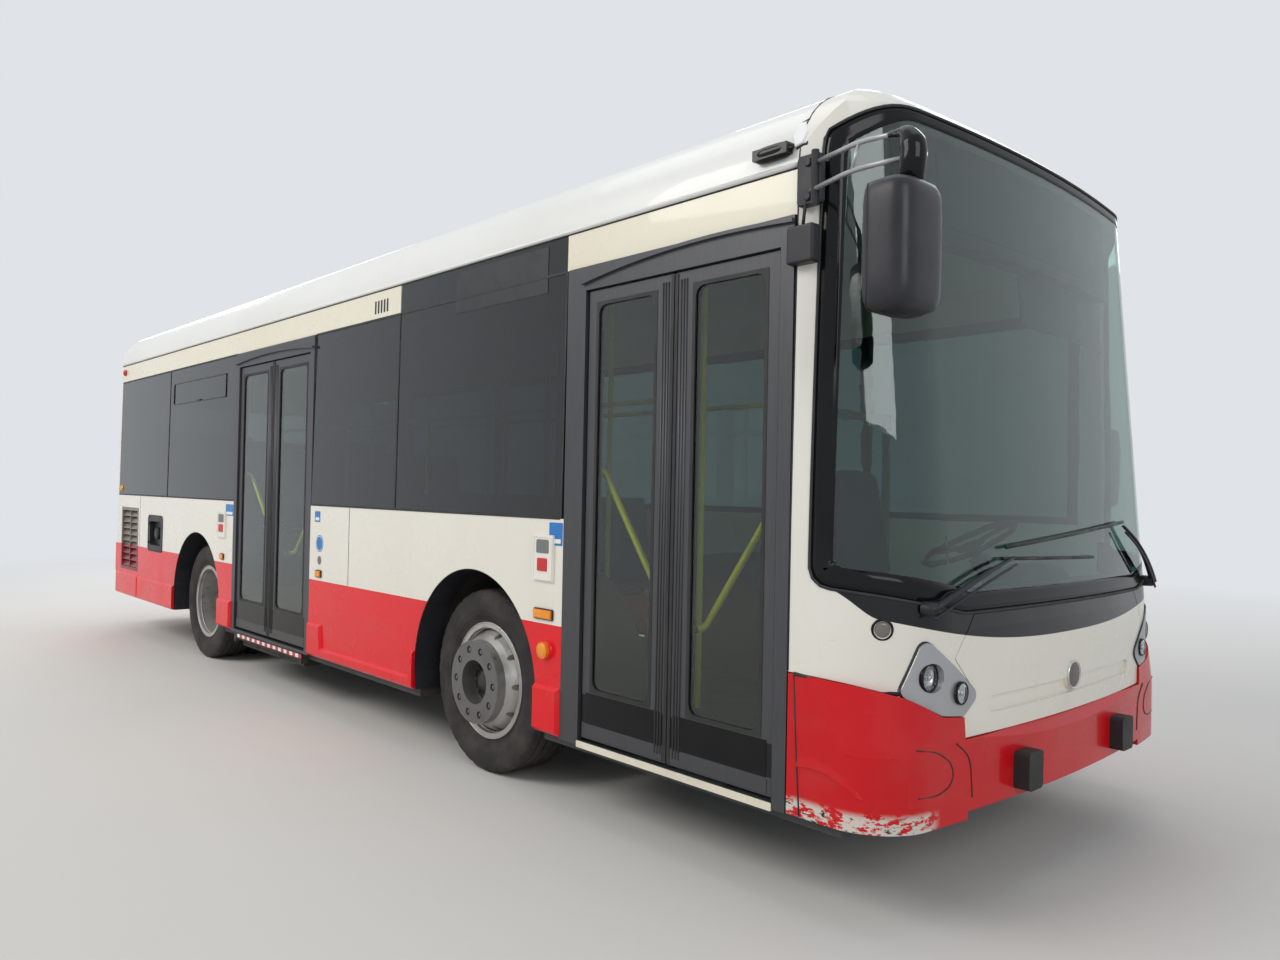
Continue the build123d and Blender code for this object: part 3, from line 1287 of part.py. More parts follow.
# Side grille: frame with sloped slats
with BuildPart() as side_grille:
    x0, x1 = grille_x - grille_width / 2, grille_x + grille_width / 2
    z0, z1 = grille_z - grille_height / 2, grille_z + grille_height / 2
    side_box(-1, x0 + seat_gap, x1 - seat_gap, z0 + seat_gap, z1 - seat_gap, -2, wall)
    slot = side_plane(-1, -4)
    with BuildSketch(slot) as opening:
        with Locations((grille_x, grille_z)):
            Rectangle(grille_width - 60, grille_height - 60)
    extrude(opening.sketch, amount=-wall - 10, mode=Mode.SUBTRACT)
    pitch = (grille_height - 60) / slat_count
    for number in range(slat_count):
        low = z0 + 30 + number * pitch
        with BuildSketch(Plane.YZ.offset(x0 + 20)) as slat:
            with BuildLine():
                Polyline((-half_width + 4, low + 4), (-half_width + 10, low + 4),
                         (-half_width + 42, low + pitch - 6), (-half_width + 36, low + pitch - 6),
                         close=True)
            make_face()
        extrude(slat.sketch, amount=grille_width - 40)
    side_box(-1, grille_x - 8, grille_x + 8, z0 + 20, z1 - 20, 4, 36)

# Small fittings on the skin as (side, rear x, front x, low z, high z, reach)
fitting_table = [
    (-1, rear_axle_x + 518, rear_axle_x + 688, 1035, 1241, 12),
    (-1, front_axle_x + 532, front_axle_x + 685, 1040, 1253, 12),
    (-1, rear_axle_x + 585, rear_axle_x + 650, 868, 906, 14),
    (-1, front_axle_x - 1840, front_axle_x - 1770, 868, 906, 14),
    (-1, front_axle_x + 548, front_axle_x + 681, 866, 907, 14),
    (1, rear_axle_x + 585, rear_axle_x + 650, 868, 906, 14),
    (1, front_axle_x - 1840, front_axle_x - 1770, 868, 906, 14),
]
with BuildPart() as body_fittings:
    for side, x0, x1, z0, z1, reach in fitting_table:
        side_box(side, x0, x1, z0, z1, -reach, reach - seat_gap)
    with BuildSketch(side_plane(-1, -seat_gap)) as dome:
        with Locations((front_axle_x + 636, 723)):
            Circle(38)
    extrude(dome.sketch, amount=28)
    box(mask_x - 192, mask_x - 33, -half_width - 22, -gutter_half_width + 25, gutter_z + 49, gutter_z + 88)
    extrude(body_section(-seat_gap, skirt_z, mask_x - 250), amount=300, mode=Mode.SUBTRACT)

pieces = dict(front_mask=front_mask, windscreen=windscreen, front_flap=front_flap, headlamps=headlamps,
              front_bumper=front_bumper, bump_stops=bump_stops, side_panels=side_panels,
              cream_bands=cream_bands, side_skirts=side_skirts, window_panes=window_panes,
              window_posts=window_posts, roof=roof, rear_mask=rear_mask, rear_bumper=rear_bumper,
              engine_door=engine_door, engine=engine, floor=floor, wheel_boxes=wheel_boxes, chassis=chassis,
              axles=axles, knuckle_left=knuckle_left, knuckle_right=knuckle_right,
              tyre_front_left=tyre_front_left, tyre_front_right=tyre_front_right,
              tyre_rear_left=tyre_rear_left, tyre_rear_right=tyre_rear_right,
              rim_front_left=rim_front_left, rim_front_right=rim_front_right,
              rim_rear_left=rim_rear_left, rim_rear_right=rim_rear_right,
              door_frames=door_frames, ramp_cassette=ramp_cassette, dashboard=dashboard,
              steering_wheel=steering_wheel, seats=seats, driver_seat=driver_seat,
              driver_partition=driver_partition, handrails=handrails, mirrors=mirrors, wipers=wipers,
              filler_recess=filler_recess, side_grille=side_grille, body_fittings=body_fittings)
for key in posts:
    pieces[f"{key}_post"] = posts[key]
    pieces[f"{key}_leaf"] = leaves[key]
    pieces[f"{key}_glass"] = glasses[key]

for name, piece in pieces.items():
    piece.part.label = name
    export_step(piece.part, f"parts/{name}.step")
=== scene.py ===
import math

import bmesh
import bpy
from mathutils import Matrix, Vector


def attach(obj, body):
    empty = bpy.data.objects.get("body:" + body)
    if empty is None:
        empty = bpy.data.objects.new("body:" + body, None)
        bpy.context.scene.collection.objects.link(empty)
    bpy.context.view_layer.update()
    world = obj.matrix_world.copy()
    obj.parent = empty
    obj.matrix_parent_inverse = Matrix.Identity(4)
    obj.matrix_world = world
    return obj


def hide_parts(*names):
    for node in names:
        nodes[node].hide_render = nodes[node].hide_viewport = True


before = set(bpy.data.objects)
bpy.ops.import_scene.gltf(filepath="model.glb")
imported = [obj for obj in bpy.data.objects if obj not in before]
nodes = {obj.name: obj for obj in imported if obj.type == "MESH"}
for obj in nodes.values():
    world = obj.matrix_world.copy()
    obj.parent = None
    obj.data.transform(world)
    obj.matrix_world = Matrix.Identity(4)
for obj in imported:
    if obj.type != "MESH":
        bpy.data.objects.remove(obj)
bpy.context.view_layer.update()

# Sizes of the bus in metres, as in the CAD
HALF_WIDTH = 1.225
BELT_Z = 1.33
GUTTER_Z = 2.635
WINDOW_TOP_Z = 2.46
STRIPE_Z = 0.842
SIDE_LEAN = 0.012
ROOF_TOP_Z = 2.9855
ROOF_FLAT = 0.883
ROOF_BEND = 0.3305
ROOF_CROWN = 0.02
FRONT_AXLE_X = 2.01
REAR_AXLE_X = -2.175
REAR_WALL_X = -4.6
MASK_X = 4.051
NOSE_X = 4.528
NOSE_RADIUS = 8.0
CORNER_RADIUS = 0.4
RAKE_Z = 1.0
RAKE_SLOPE = 0.083
WHEEL_Z = 0.47
ARCH_Z = 0.49
BUMPER_CORNER = (4.295, 0.98)
STUD_CIRCLE = 0.335
STUD_COUNT = 10
SIDES = (("right", -1), ("left", 1))

# Camera as fitted to the photograph
CAMERA_AT = Vector((6.1597, -3.9026, 1.462))
CAMERA_YAW, CAMERA_PITCH, CAMERA_ROLL = 137.269, 0.693, 1.135
CAMERA_LENS = 26.76


# Colours and node materials
def tone(red, green, blue):
    """Linear colour from screen values of 0 to 255."""
    linear = [((v / 255 + 0.055) / 1.055) ** 2.4 if v > 10 else v / 255 / 12.92 for v in (red, green, blue)]
    return (*linear, 1.0)


def put(value, socket):
    """Sets a socket from a number or a screen colour, or links an output to it."""
    if isinstance(value, bpy.types.NodeSocket):
        socket.id_data.links.new(value, socket)
    else:
        socket.default_value = tone(*value) if isinstance(value, tuple) else value


def new_node(tree, kind, inputs, **settings):
    made = tree.nodes.new(f"ShaderNode{kind}")
    for key, value in settings.items():
        setattr(made, key, value)
    for key, value in inputs.items():
        put(value, made.inputs[key])
    return made


def mixed(tree, factor, first, second, output):
    """Shows the first shader where factor is 0 and the second where it is 1."""
    mixer = new_node(tree, "MixShader", {0: factor, 1: first, 2: second})
    put(mixer.outputs[0], tree.nodes[output].inputs["Surface"])


class Finish:
    """A node material in the bus's own coordinates, with the record's slot that it belongs to."""

    def __init__(self, name, slot, rough=0.5, metal=0.0, coat=0.0):
        self.material = bpy.data.materials.new(name)
        self.material.use_nodes = True
        self.slot = slot
        self.tree = self.material.node_tree
        self.shader = self.tree.nodes["Principled BSDF"]
        for socket, value in (("Roughness", rough), ("Metallic", metal), ("Coat Weight", coat)):
            put(value, self.shader.inputs[socket])
        self.coords = self.new("TexCoord", {}).outputs["Object"]
        self.split = self.new("SeparateXYZ", {0: self.coords})

    def new(self, kind, inputs, **settings):
        return new_node(self.tree, kind, inputs, **settings)

    def axis(self, letter):
        return self.split.outputs["XYZ".index(letter)]

    def noise(self, scale, detail=3.0, stretch=(1, 1, 1), rough=0.55):
        mapping = self.new("Mapping", {0: self.coords, "Scale": Vector(stretch)})
        return self.new("TexNoise", {"Vector": mapping.outputs[0], "Scale": scale, "Detail": detail,
                                     "Roughness": rough}).outputs[0]

    def math(self, operation, first, second=0.0):
        return self.new("Math", {0: first, 1: second}, operation=operation).outputs[0]

    def times(self, product, *factors):
        for factor in factors:
            product = self.math("MULTIPLY", product, factor)
        return product

    def step(self, value, low, high, to_low=0.0, to_high=1.0):
        """Smooth change from to_low to to_high while value goes from low to high."""
        limits = {"From Min": low, "From Max": high, "To Min": to_low, "To Max": to_high}
        return self.new("MapRange", {"Value": value, **limits}, interpolation_type="SMOOTHSTEP").outputs[0]

    def blend(self, factor, first, second):
        return self.new("Mix", {0: factor, 6: first, 7: second}, data_type="RGBA").outputs[2]

    def colour(self, value):
        put(value, self.shader.inputs["Base Color"])
        return self

    def roughness(self, value):
        put(value, self.shader.inputs["Roughness"])
        return self

    def bump(self, height, distance, strength):
        made = self.new("Bump", {"Distance": distance, "Strength": strength, "Height": height})
        put(made.outputs[0], self.shader.inputs["Normal"])
        return self

    def between(self, letter, low, high, soft=0.0004):
        """1 where the coordinate lies between low and high."""
        rise = self.step(self.axis(letter), low - soft, low + soft)
        fall = self.step(self.axis(letter), high - soft, high + soft, 1.0, 0.0)
        return self.times(rise, fall)


DUST = (150, 140, 124)
SOOT = (62, 57, 52)


def paint(name, slot, colour, fade, dirt=0.5, rough=0.28):
    """Body paint: faint fading in patches, road dirt near the ground and streaks."""
    made = Finish(name, slot, rough=rough, coat=0.35)
    base = made.blend(made.step(made.noise(0.7), 0.3, 0.8), colour, fade)
    low = made.step(made.axis("Z"), 0.3, 0.95, 1.0, 0.0)
    spatter = made.step(made.noise(5.0, 4.0, (1, 1, 1.4)), 0.45, 0.85)
    base = made.blend(made.times(low, spatter, dirt), base, DUST)
    streaks = made.step(made.noise(2.4, 3.0, (7, 7, 0.4)), 0.58, 0.85)
    made.colour(made.blend(made.times(streaks, 0.12 * dirt), base, SOOT))
    return made.roughness(made.step(made.noise(3.0), 0.3, 0.8, rough - 0.04, rough + 0.08))


def recolour(made, factor, colour):
    """Puts another colour over what a finish has, where factor is 1."""
    before = made.shader.inputs["Base Color"].links[0].from_socket
    made.colour(made.blend(factor, before, colour))


def striped(made, colour):
    """Another colour below the stripe's edge."""
    recolour(made, made.step(made.axis("Z"), STRIPE_Z + 0.0005, STRIPE_Z - 0.0005), colour)
    return made


WHITE, WHITE_FADE = (238, 234, 224), (233, 228, 215)
CREAM, CREAM_FADE = (236, 230, 210), (231, 223, 201)
RED, RED_FADE = (234, 8, 24), (228, 14, 32)
# The bumper's red is the side's red made darker: painted shade for the front, which lies out of the light.
BUMPER_SHADED_RED, BUMPER_SHADED_FADE = (208, 4, 16), (202, 9, 22)
BLACK_GLOSS = (14, 14, 16)
YELLOW = (246, 226, 30)

roof_paint = paint("roof_paint", "white_paint", (232, 232, 229), (224, 224, 220), 0.35, 0.34)
white_paint = paint("side_paint", "white_paint", WHITE, WHITE_FADE, 0.3)
cream_paint = paint("cream_paint", "cream_paint", CREAM, CREAM_FADE, 0.35)
red_paint = paint("red_paint", "red_paint", RED, RED_FADE, 0.12)
door_paint = striped(paint("engine_door_paint", "white_paint", WHITE, WHITE_FADE, 0.5), RED)
# Side grille: white paint above the stripe and red below it, both darkened to grey-brown and dark red as
# painted shade for the holes of the mesh, with road dirt as well.
grille_paint_with_hole_shade = striped(paint("grille_paint_with_hole_shade", "grey_plastic", (128, 118, 108), (104, 96, 88), 0.8, 0.55),
                       (122, 24, 34))


def front_white():
    """White with the glossy black field that dips under the windscreen, and scratches at its right end."""
    made = paint("front_paint", "white_paint", (233, 231, 224), WHITE_FADE, 0.25)
    across = made.math("ABSOLUTE", made.axis("Y"))
    dip = made.times(made.math("POWER", across, 2.6), 0.08)
    edge = made.math("ADD", made.math("ADD", dip, 0.938), made.step(across, 1.12, 1.23, 0.0, 0.09))
    above = made.step(made.math("SUBTRACT", made.axis("Z"), edge), -0.001, 0.001)
    under_glass = made.step(made.axis("Z"), 1.24, 1.25, 1.0, 0.0)
    ahead = made.step(made.axis("X"), 4.15, 4.152)
    recolour(made, made.times(above, under_glass, ahead), BLACK_GLOSS)
    scratches = made.step(made.noise(30.0, 3.0, (0.4, 0.4, 9)), 0.66, 0.72)
    right_end = made.step(made.axis("Y"), -1.16, -1.21)
    worn = made.times(scratches, made.between("Z", 0.82, 1.02, 0.05), right_end, 0.35)
    recolour(made, worn, (150, 144, 132))
    return made


def bumper_red():
    """Bumper paint, its red darkened as painted shade for the front, scuffed through to white and black along
    its lower right corner.
    """
    made = paint("shaded_bumper_paint", "red_paint", BUMPER_SHADED_RED, BUMPER_SHADED_FADE, 0.12)
    low_edge = made.step(made.axis("Z"), 0.385, 0.415, 1.0, 0.0)
    right_end = made.step(made.axis("Y"), -0.93, -1.0)
    raw = made.step(made.noise(14.0, 9.0, (1, 1, 2.2), 0.7), 0.46, 0.5)
    scuffed = made.times(low_edge, right_end, raw)
    recolour(made, scuffed, (214, 205, 196))
    gouge = made.step(made.noise(26.0, 6.0, (1, 1, 3), 0.7), 0.57, 0.6)
    recolour(made, made.times(scuffed, gouge), (60, 40, 38))
    scrape = made.step(made.noise(22.0, 7.0, (1, 1, 1), 0.75), 0.66, 0.7)
    zone = made.times(made.between("Z", 0.4, 0.6, 0.03), made.between("Y", -1.18, -0.98, 0.03))
    recolour(made, made.times(scrape, zone, 0.6), (92, 18, 22))
    return made


front_paint = front_white()
shaded_bumper_paint = bumper_red()


def glass(name, slot, colour, shade, index=1.45):
    """Tinted pane: glass for what is seen, clear to lamps so that they light what is behind."""
    made = Finish(name, slot, rough=0.0)
    put(1.0, made.shader.inputs["Transmission Weight"])
    put(index, made.shader.inputs["IOR"])
    made.colour(made.blend(made.step(made.noise(2.4), 0.35, 0.8), colour, shade))
    clear = made.new("BsdfTransparent", {"Color": colour})
    shadow = made.new("LightPath", {}).outputs["Is Shadow Ray"]
    mixed(made.tree, shadow, made.shader.outputs[0], clear.outputs[0], "Material Output")
    return made


tinted_glass = glass("tinted_glass", "tinted_glass", (74, 92, 94), (68, 86, 88), 1.52)
screen_glass = glass("screen_glass", "clear_glass", (158, 184, 178), (152, 178, 173), 1.55)
door_glass = glass("door_glass", "clear_glass", (182, 196, 190), (174, 188, 182), 1.5)
lens_glass = glass("lens_glass", "lamp_glass", (244, 246, 246), (236, 238, 238))


def plain(name, slot, colour, fade, rough=0.5, metal=0.0, grain=260.0, depth=0.0002, patch=4.0):
    """Moulded or coated finish: soft patches of fading and a fine grain."""
    made = Finish(name, slot, rough=rough, metal=metal)
    made.colour(made.blend(made.step(made.noise(patch, 6.0), 0.35, 0.75), colour, fade))
    made.roughness(made.step(made.noise(patch * 2.5, 4.0), 0.3, 0.8, rough - 0.06, rough + 0.1))
    return made.bump(made.noise(grain, 2.0), depth, 0.5)


black_plastic = plain("black_plastic", "black_plastic", (36, 37, 41), (46, 46, 50), 0.42)
mirror_shell = plain("mirror_shell", "black_plastic", (40, 40, 44), (50, 50, 55), 0.34, grain=500.0)
black_trim = plain("black_trim", "black_plastic", BLACK_GLOSS, (22, 22, 24), 0.12, grain=30.0, depth=0.0001)
screen_panel = plain("screen_panel", "black_plastic", (20, 26, 28), (26, 32, 34), 0.5, grain=200.0)
black_rubber = plain("black_rubber", "black_rubber", (30, 30, 32), (42, 41, 41), 0.62)
grey_plastic = plain("grey_plastic", "grey_plastic", (120, 122, 122), (108, 110, 110), 0.5)
dash_plastic = plain("dash_plastic", "grey_plastic", (92, 104, 104), (80, 92, 92), 0.55)
box_plastic = plain("box_plastic", "grey_plastic", (52, 51, 50), (62, 60, 57), 0.7)
label_blue = plain("label_blue", "grey_plastic", (36, 122, 196), (30, 112, 186), 0.35)
seat_plastic = plain("seat_plastic", "seat_plastic", (44, 66, 108), (52, 76, 120), 0.45)
seat_cloth = plain("seat_cloth", "seat_plastic", (52, 56, 66), (62, 66, 76), 0.85, grain=900.0, depth=0.0006)
floor_cover = plain("floor_cover", "floor_covering", (70, 72, 74), (84, 84, 84), 0.75, grain=600.0)
yellow_rail = plain("yellow_rail", "yellow_rail", YELLOW, (240, 214, 24), 0.35)
steel_dark = plain("steel_dark", "chassis_steel", (48, 46, 44), (74, 66, 58), 0.7, 0.2, patch=9.0)
panel_white = plain("panel_white", "white_paint", (238, 236, 230), (228, 226, 218), 0.4)
label_white = plain("label_white", "white_paint", (240, 242, 242), (230, 232, 232), 0.4)
label_red = plain("label_red", "red_paint", (206, 40, 48), (196, 36, 44), 0.4)
orange_lens = plain("orange_lens", "orange_lens", (250, 164, 44), (242, 146, 30), 0.22)
corner_lens = plain("corner_lens", "lamp_glass", (128, 121, 112), (112, 106, 98), 0.14)
disc_metal = plain("disc_metal", "lamp_glass", (122, 117, 111), (98, 94, 89), 0.26, 0.8)
lamp_silver = plain("lamp_silver", "lamp_glass", (206, 208, 210), (176, 178, 181), 0.12, 0.9)
bezel_silver = plain("bezel_silver", "lamp_glass", (172, 173, 175), (160, 161, 164), 0.34, 0.55, grain=700.0)
bright_metal = plain("bright_metal", "wheel_steel", (205, 206, 208), (190, 191, 194), 0.22, 0.9)
hub_steel = plain("hub_steel", "wheel_steel", (96, 94, 90), (74, 70, 66), 0.55, 0.4, patch=14.0)

# Fittings share one node: orange lamps low down, white button panels, black housings high up
fitting_finish = plain("fitting_finish", "orange_lens", (240, 236, 226), (230, 226, 214), 0.35)
recolour(fitting_finish, fitting_finish.step(fitting_finish.axis("Z"), 0.96, 0.961, 1.0, 0.0), (236, 132, 28))
recolour(fitting_finish, fitting_finish.step(fitting_finish.axis("Z"), 2.0, 2.001), (34, 34, 36))


def brushed(name, metal, colour, light, rough_low=None, rough_high=None):
    """Anodised aluminium of the doors, brushed along its height."""
    made = Finish(name, "dark_anodised", rough=0.42, metal=metal)
    lines = made.noise(30.0, 3.0, (14, 14, 0.3))
    made.colour(made.blend(made.step(lines, 0.2, 0.85), colour, light))
    if rough_low:
        made.roughness(made.step(lines, 0.3, 0.8, rough_low, rough_high))
    return made.bump(made.noise(120.0, 2.0, (6, 6, 0.2)), 0.0001, 0.2)


anodised = brushed("anodised", 0.55, (72, 73, 76), (84, 84, 87), 0.36, 0.46)

# Door leaf: a darker band under the glass and the yellow rail inside
leaf_finish = brushed("door_leaf", 0.4, (70, 71, 74), (82, 82, 85))
recolour(leaf_finish, leaf_finish.between("Z", 0.44, 0.562), (24, 25, 27))
inside = leaf_finish.step(leaf_finish.axis("Y"), -1.1762, -1.1758)
recolour(leaf_finish, leaf_finish.times(inside, leaf_finish.between("Z", 0.86, 1.68)), YELLOW)

# Tyre rubber: dusty brown-grey
tyre_rubber = Finish("tyre_rubber", "tyre_rubber", rough=0.82)
dusty = tyre_rubber.step(tyre_rubber.noise(6.0, 5.0), 0.32, 0.78)
tyre_rubber.colour(tyre_rubber.blend(dusty, (46, 45, 45), (74, 69, 65)))
tyre_rubber.bump(tyre_rubber.noise(300.0), 0.0006, 0.4)


def wheel_radius(made):
    """Distance from the nearer axle, seen along it."""
    squares = []
    for axle_x in (FRONT_AXLE_X, REAR_AXLE_X):
        away = made.math("SUBTRACT", made.axis("X"), axle_x)
        squares.append(made.times(away, away))
    rise = made.math("SUBTRACT", made.axis("Z"), WHEEL_Z)
    nearer = made.math("MINIMUM", *squares)
    return made.math("SQRT", made.math("ADD", nearer, made.times(rise, rise)))


def wheel_metal():
    """Wheel steel: dark dusty middle and stud flange, brighter bowl and rim, with stains and rust blooms."""
    made = Finish("wheel_steel", "wheel_steel", rough=0.42, metal=0.5)
    radius = wheel_radius(made)
    made.colour(made.blend(made.step(radius, 0.209, 0.214), (112, 112, 112), (186, 184, 180)))
    recolour(made, made.step(radius, 0.1, 0.112, 1.0, 0.0), (58, 55, 51))
    recolour(made, made.times(made.step(made.noise(6.0, 4.0), 0.42, 0.8), 0.65), (92, 86, 78))
    recolour(made, made.times(made.step(made.noise(24.0, 5.0), 0.62, 0.72), 0.5), (96, 68, 50))
    made.roughness(made.step(made.noise(9.0, 4.0), 0.3, 0.8, 0.32, 0.55))
    return made.bump(made.noise(180.0), 0.0003, 0.3)


wheel_steel = wheel_metal()


# Outlines and places
def rounded(x0, x1, z0, z1, radius, steps=5):
    """Closed outline of a rectangle with round corners, anticlockwise."""
    corners = [(x1 - radius, z0 + radius, -90), (x1 - radius, z1 - radius, 0),
               (x0 + radius, z1 - radius, 90), (x0 + radius, z0 + radius, 180)]
    points = []
    for cx, cz, start in corners:
        for step in range(steps + 1):
            angle = math.radians(start + 90 * step / steps)
            points.append((cx + radius * math.cos(angle), cz + radius * math.sin(angle)))
    return points


def oblong(x, z, half_x, half_z, radius, steps=5):
    """Round-cornered rectangle about its centre."""
    return rounded(x - half_x, x + half_x, z - half_z, z + half_z, radius, steps)


def turns(count):
    """Cosine and sine of evenly spaced angles."""
    angles = [2 * math.pi * k / count for k in range(count)]
    return [(math.cos(angle), math.sin(angle)) for angle in angles]


def circle(cx, cz, radius):
    return [(cx + radius * c, cz + radius * s) for c, s in turns(32)]


def shrunk(outline, amount):
    """The outline moved inwards by amount."""
    return inset(outline, lambda across, up: amount)


def inset(outline, width):
    """The outline moved inwards by a width that depends on the inward direction."""
    moved = []
    for before, here, after in zip(outline[-1:] + outline[:-1], outline, outline[1:] + outline[:1]):
        along = Vector((after[0] - before[0], after[1] - before[1])).normalized()
        across, up = -along.y, along.x
        amount = width(across, up)
        moved.append((here[0] + across * amount, here[1] + up * amount))
    return moved


def flat(side, depth=0.0):
    """Place on an upright side face: x, z and how far out."""
    return lambda x, z, reach: Vector((x, side * (HALF_WIDTH - depth + reach), z))


def wall(side):
    """Place on a side wall: x, z and how far out from the skin."""
    def place(x, z, reach):
        lean = SIDE_LEAN * max(0.0, z - BELT_Z) / (GUTTER_Z - BELT_Z)
        return Vector((x, side * (HALF_WIDTH - lean + reach), z))
    return place


def rear(y, z, reach):
    return Vector((REAR_WALL_X - reach, y, z))


# The nose as plan arc length s from the centre line, and height z
FRONT_CENTRE = NOSE_X - NOSE_RADIUS
CORNER_Y = HALF_WIDTH - CORNER_RADIUS
CORNER_X = FRONT_CENTRE + math.sqrt((NOSE_RADIUS - CORNER_RADIUS) ** 2 - CORNER_Y ** 2)
TURN = math.atan2(CORNER_Y, CORNER_X - FRONT_CENTRE)
ARC = NOSE_RADIUS * TURN
BEND = CORNER_RADIUS * (math.pi / 2 - TURN)


def nose(s, z, reach):
    """Point that far off the nose's surface."""
    side = 1 if s >= 0 else -1
    run = abs(s)
    if run < ARC:
        angle = run / NOSE_RADIUS
        x, y = FRONT_CENTRE + NOSE_RADIUS * math.cos(angle), NOSE_RADIUS * math.sin(angle)
    elif run < ARC + BEND:
        angle = TURN + (run - ARC) / CORNER_RADIUS
        x, y = CORNER_X + CORNER_RADIUS * math.cos(angle), CORNER_Y + CORNER_RADIUS * math.sin(angle)
    else:
        angle = math.pi / 2
        x, y = CORNER_X - (run - ARC - BEND), HALF_WIDTH
    x -= RAKE_SLOPE * max(z - RAKE_Z, 0.0)
    return Vector((x + reach * math.cos(angle), side * (y + reach * math.sin(angle)), z))


def nose_s(y):
    """Arc length of the point at y."""
    side, y = (1, y) if y >= 0 else (-1, -y)
    tangent_y = NOSE_RADIUS * math.sin(TURN)
    if y < tangent_y:
        return side * NOSE_RADIUS * math.asin(y / NOSE_RADIUS)
    angle = math.asin(min(1.0, (y - CORNER_Y) / CORNER_RADIUS))
    return side * (ARC + CORNER_RADIUS * (angle - TURN))


def nose_yz(y, z, reach):
    return nose(nose_s(y), z, reach)


# Pieces
class Shape:
    """Gathers vertices and faces of several forms into one piece."""

    def __init__(self):
        self.verts, self.faces = [], []

    def rings(self, rings, close_ends=True, closed=True):
        """Skin over rings of equal length."""
        count, start = len(rings[0]), len(self.verts)
        self.verts += [Vector(v) for ring in rings for v in ring]
        for k in range(len(rings) - 1):
            for j in range(count if closed else count - 1):
                a, b = start + k * count + j, start + k * count + (j + 1) % count
                self.faces.append((a, b, b + count, a + count))
        if close_ends:
            last = start + (len(rings) - 1) * count
            self.faces.append(tuple(start + j for j in reversed(range(count))))
            self.faces.append(tuple(last + j for j in range(count)))
        return self

    def pad(self, outline, place, low, high, edge=0.0015):
        """Plate with a rounded edge, from reach low to reach high."""
        inner = shrunk(outline, edge)
        return self.rings([[place(a, b, low) for a, b in outline],
                           [place(a, b, high - edge) for a, b in outline],
                           [place(a, b, high) for a, b in inner]])

    def slab(self, place, a0, a1, b0, b1, low, high, steps=1):
        """Plate between two corners, bent in steps along its first direction."""
        rings = []
        for k in range(steps + 1):
            a = a0 + (a1 - a0) * k / steps
            rings.append([place(a, b0, low), place(a, b1, low), place(a, b1, high), place(a, b0, high)])
        return self.rings(rings)

    def band(self, outer, inner, place, low, high, steps=1):
        """Bent band between two outlines."""
        loops = [(outer, low)]
        for t in (k / steps for k in range(steps + 1)):
            part = [tuple(a + (b - a) * t for a, b in zip(*pair)) for pair in zip(outer, inner)]
            loops.append((part, high))
        loops.append((inner, low))
        rings = [[place(a, b, reach) for a, b in loop] for loop, reach in loops]
        return self.rings(rings + rings[:1], close_ends=False)

    def rim(self, outline, width, place, low, high):
        """Band round the inside of an outline."""
        return self.band(outline, shrunk(outline, width), place, low, high)

    def sweep(self, points, radius, sides=10, closed=False, flat=1.0, up=None):
        """Rod along points; flat squeezes it along up."""
        points = [Vector(p) for p in points]
        count = len(points)
        rings = []
        reference = Vector(up) if up else Vector((0.31, 0.17, 0.93))
        for k, here in enumerate(points):
            before = points[k - 1] if k or closed else here
            after = points[(k + 1) % count] if k < count - 1 or closed else here
            along = (after - before).normalized()
            across_it = along.cross(reference)
            if across_it.length < 1e-6:
                across_it = along.cross(Vector((1, 0, 0)))
            across_it.normalize()
            rise = across_it.cross(along).normalized()
            size = radius[k] if isinstance(radius, (list, tuple)) else radius
            rings.append([here + across_it * size * c + rise * size * flat * s for c, s in turns(sides)])
        if closed:
            rings.append(rings[0])
            return self.rings(rings, close_ends=False)
        return self.rings(rings)

    def lathe(self, profile, centre, axis, segments=48, swing=None):
        """Profile of (radius, distance along axis) turned about the axis."""
        axis = Vector(axis).normalized()
        first = axis.orthogonal().normalized()
        second = axis.cross(first)
        centre = Vector(centre)
        rings = []
        for j, (c, s) in enumerate(turns(segments)):
            out = first * c + second * s
            rings.append([centre + out * (swing(r, d, j) if swing else r) + axis * d for r, d in profile])
        rings.append(rings[0])
        return self.rings(rings, close_ends=False, closed=False)

    def make(self, name, finish, body="body", smooth=False):
        """The piece itself: a clean mesh with its finish and body."""
        mesh = bpy.data.meshes.new(name)
        mesh.from_pydata([tuple(v) for v in self.verts], [], self.faces)
        mesh.validate()
        shaped = bmesh.new()
        shaped.from_mesh(mesh)
        bmesh.ops.remove_doubles(shaped, verts=shaped.verts, dist=0.00001)
        bmesh.ops.recalc_face_normals(shaped, faces=shaped.faces)
        shaped.to_mesh(mesh)
        shaped.free()
        mesh.update()
        made = bpy.data.objects.new(name, mesh)
        bpy.context.scene.collection.objects.link(made)
        made.data.materials.append(finish.material)
        for polygon in mesh.polygons:
            polygon.use_smooth = smooth
        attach(made, body)
        return made


def plate(name, outline, place, low, high, finish, edge=0.0015, body="body"):
    return Shape().pad(outline, place, low, high, edge).make(name, finish, body)


def rim(name, outline, width, place, low, high, finish, body="body"):
    return Shape().rim(outline, width, place, low, high).make(name, finish, body)


def turned(name, profile, at, axis, finish, segments=32):
    return Shape().lathe(profile, at, axis, segments).make(name, finish, smooth=True)


def rod(name, points, radius, finish, sides=8, **shaped):
    return Shape().sweep(points, radius, sides, **shaped).make(name, finish, smooth=True)


def bevelled(made, width):
    modifier = made.modifiers.new("bevel", "BEVEL")
    modifier.width = width
    modifier.segments = 2
    modifier.limit_method = "ANGLE"
    return made


def signed_power(value, power):
    return math.copysign(abs(value) ** power, value)


def curve(start, control, end, count):
    """Points of a quadratic curve."""
    steps = [k / count for k in range(count + 1)]
    return [start * (1 - t) ** 2 + control * 2 * t * (1 - t) + end * t ** 2 for t in steps]


def arc_points(start, middle, end, count=12):
    """Curve through three points."""
    return curve(start, middle * 2 - (start + end) / 2, end, count)


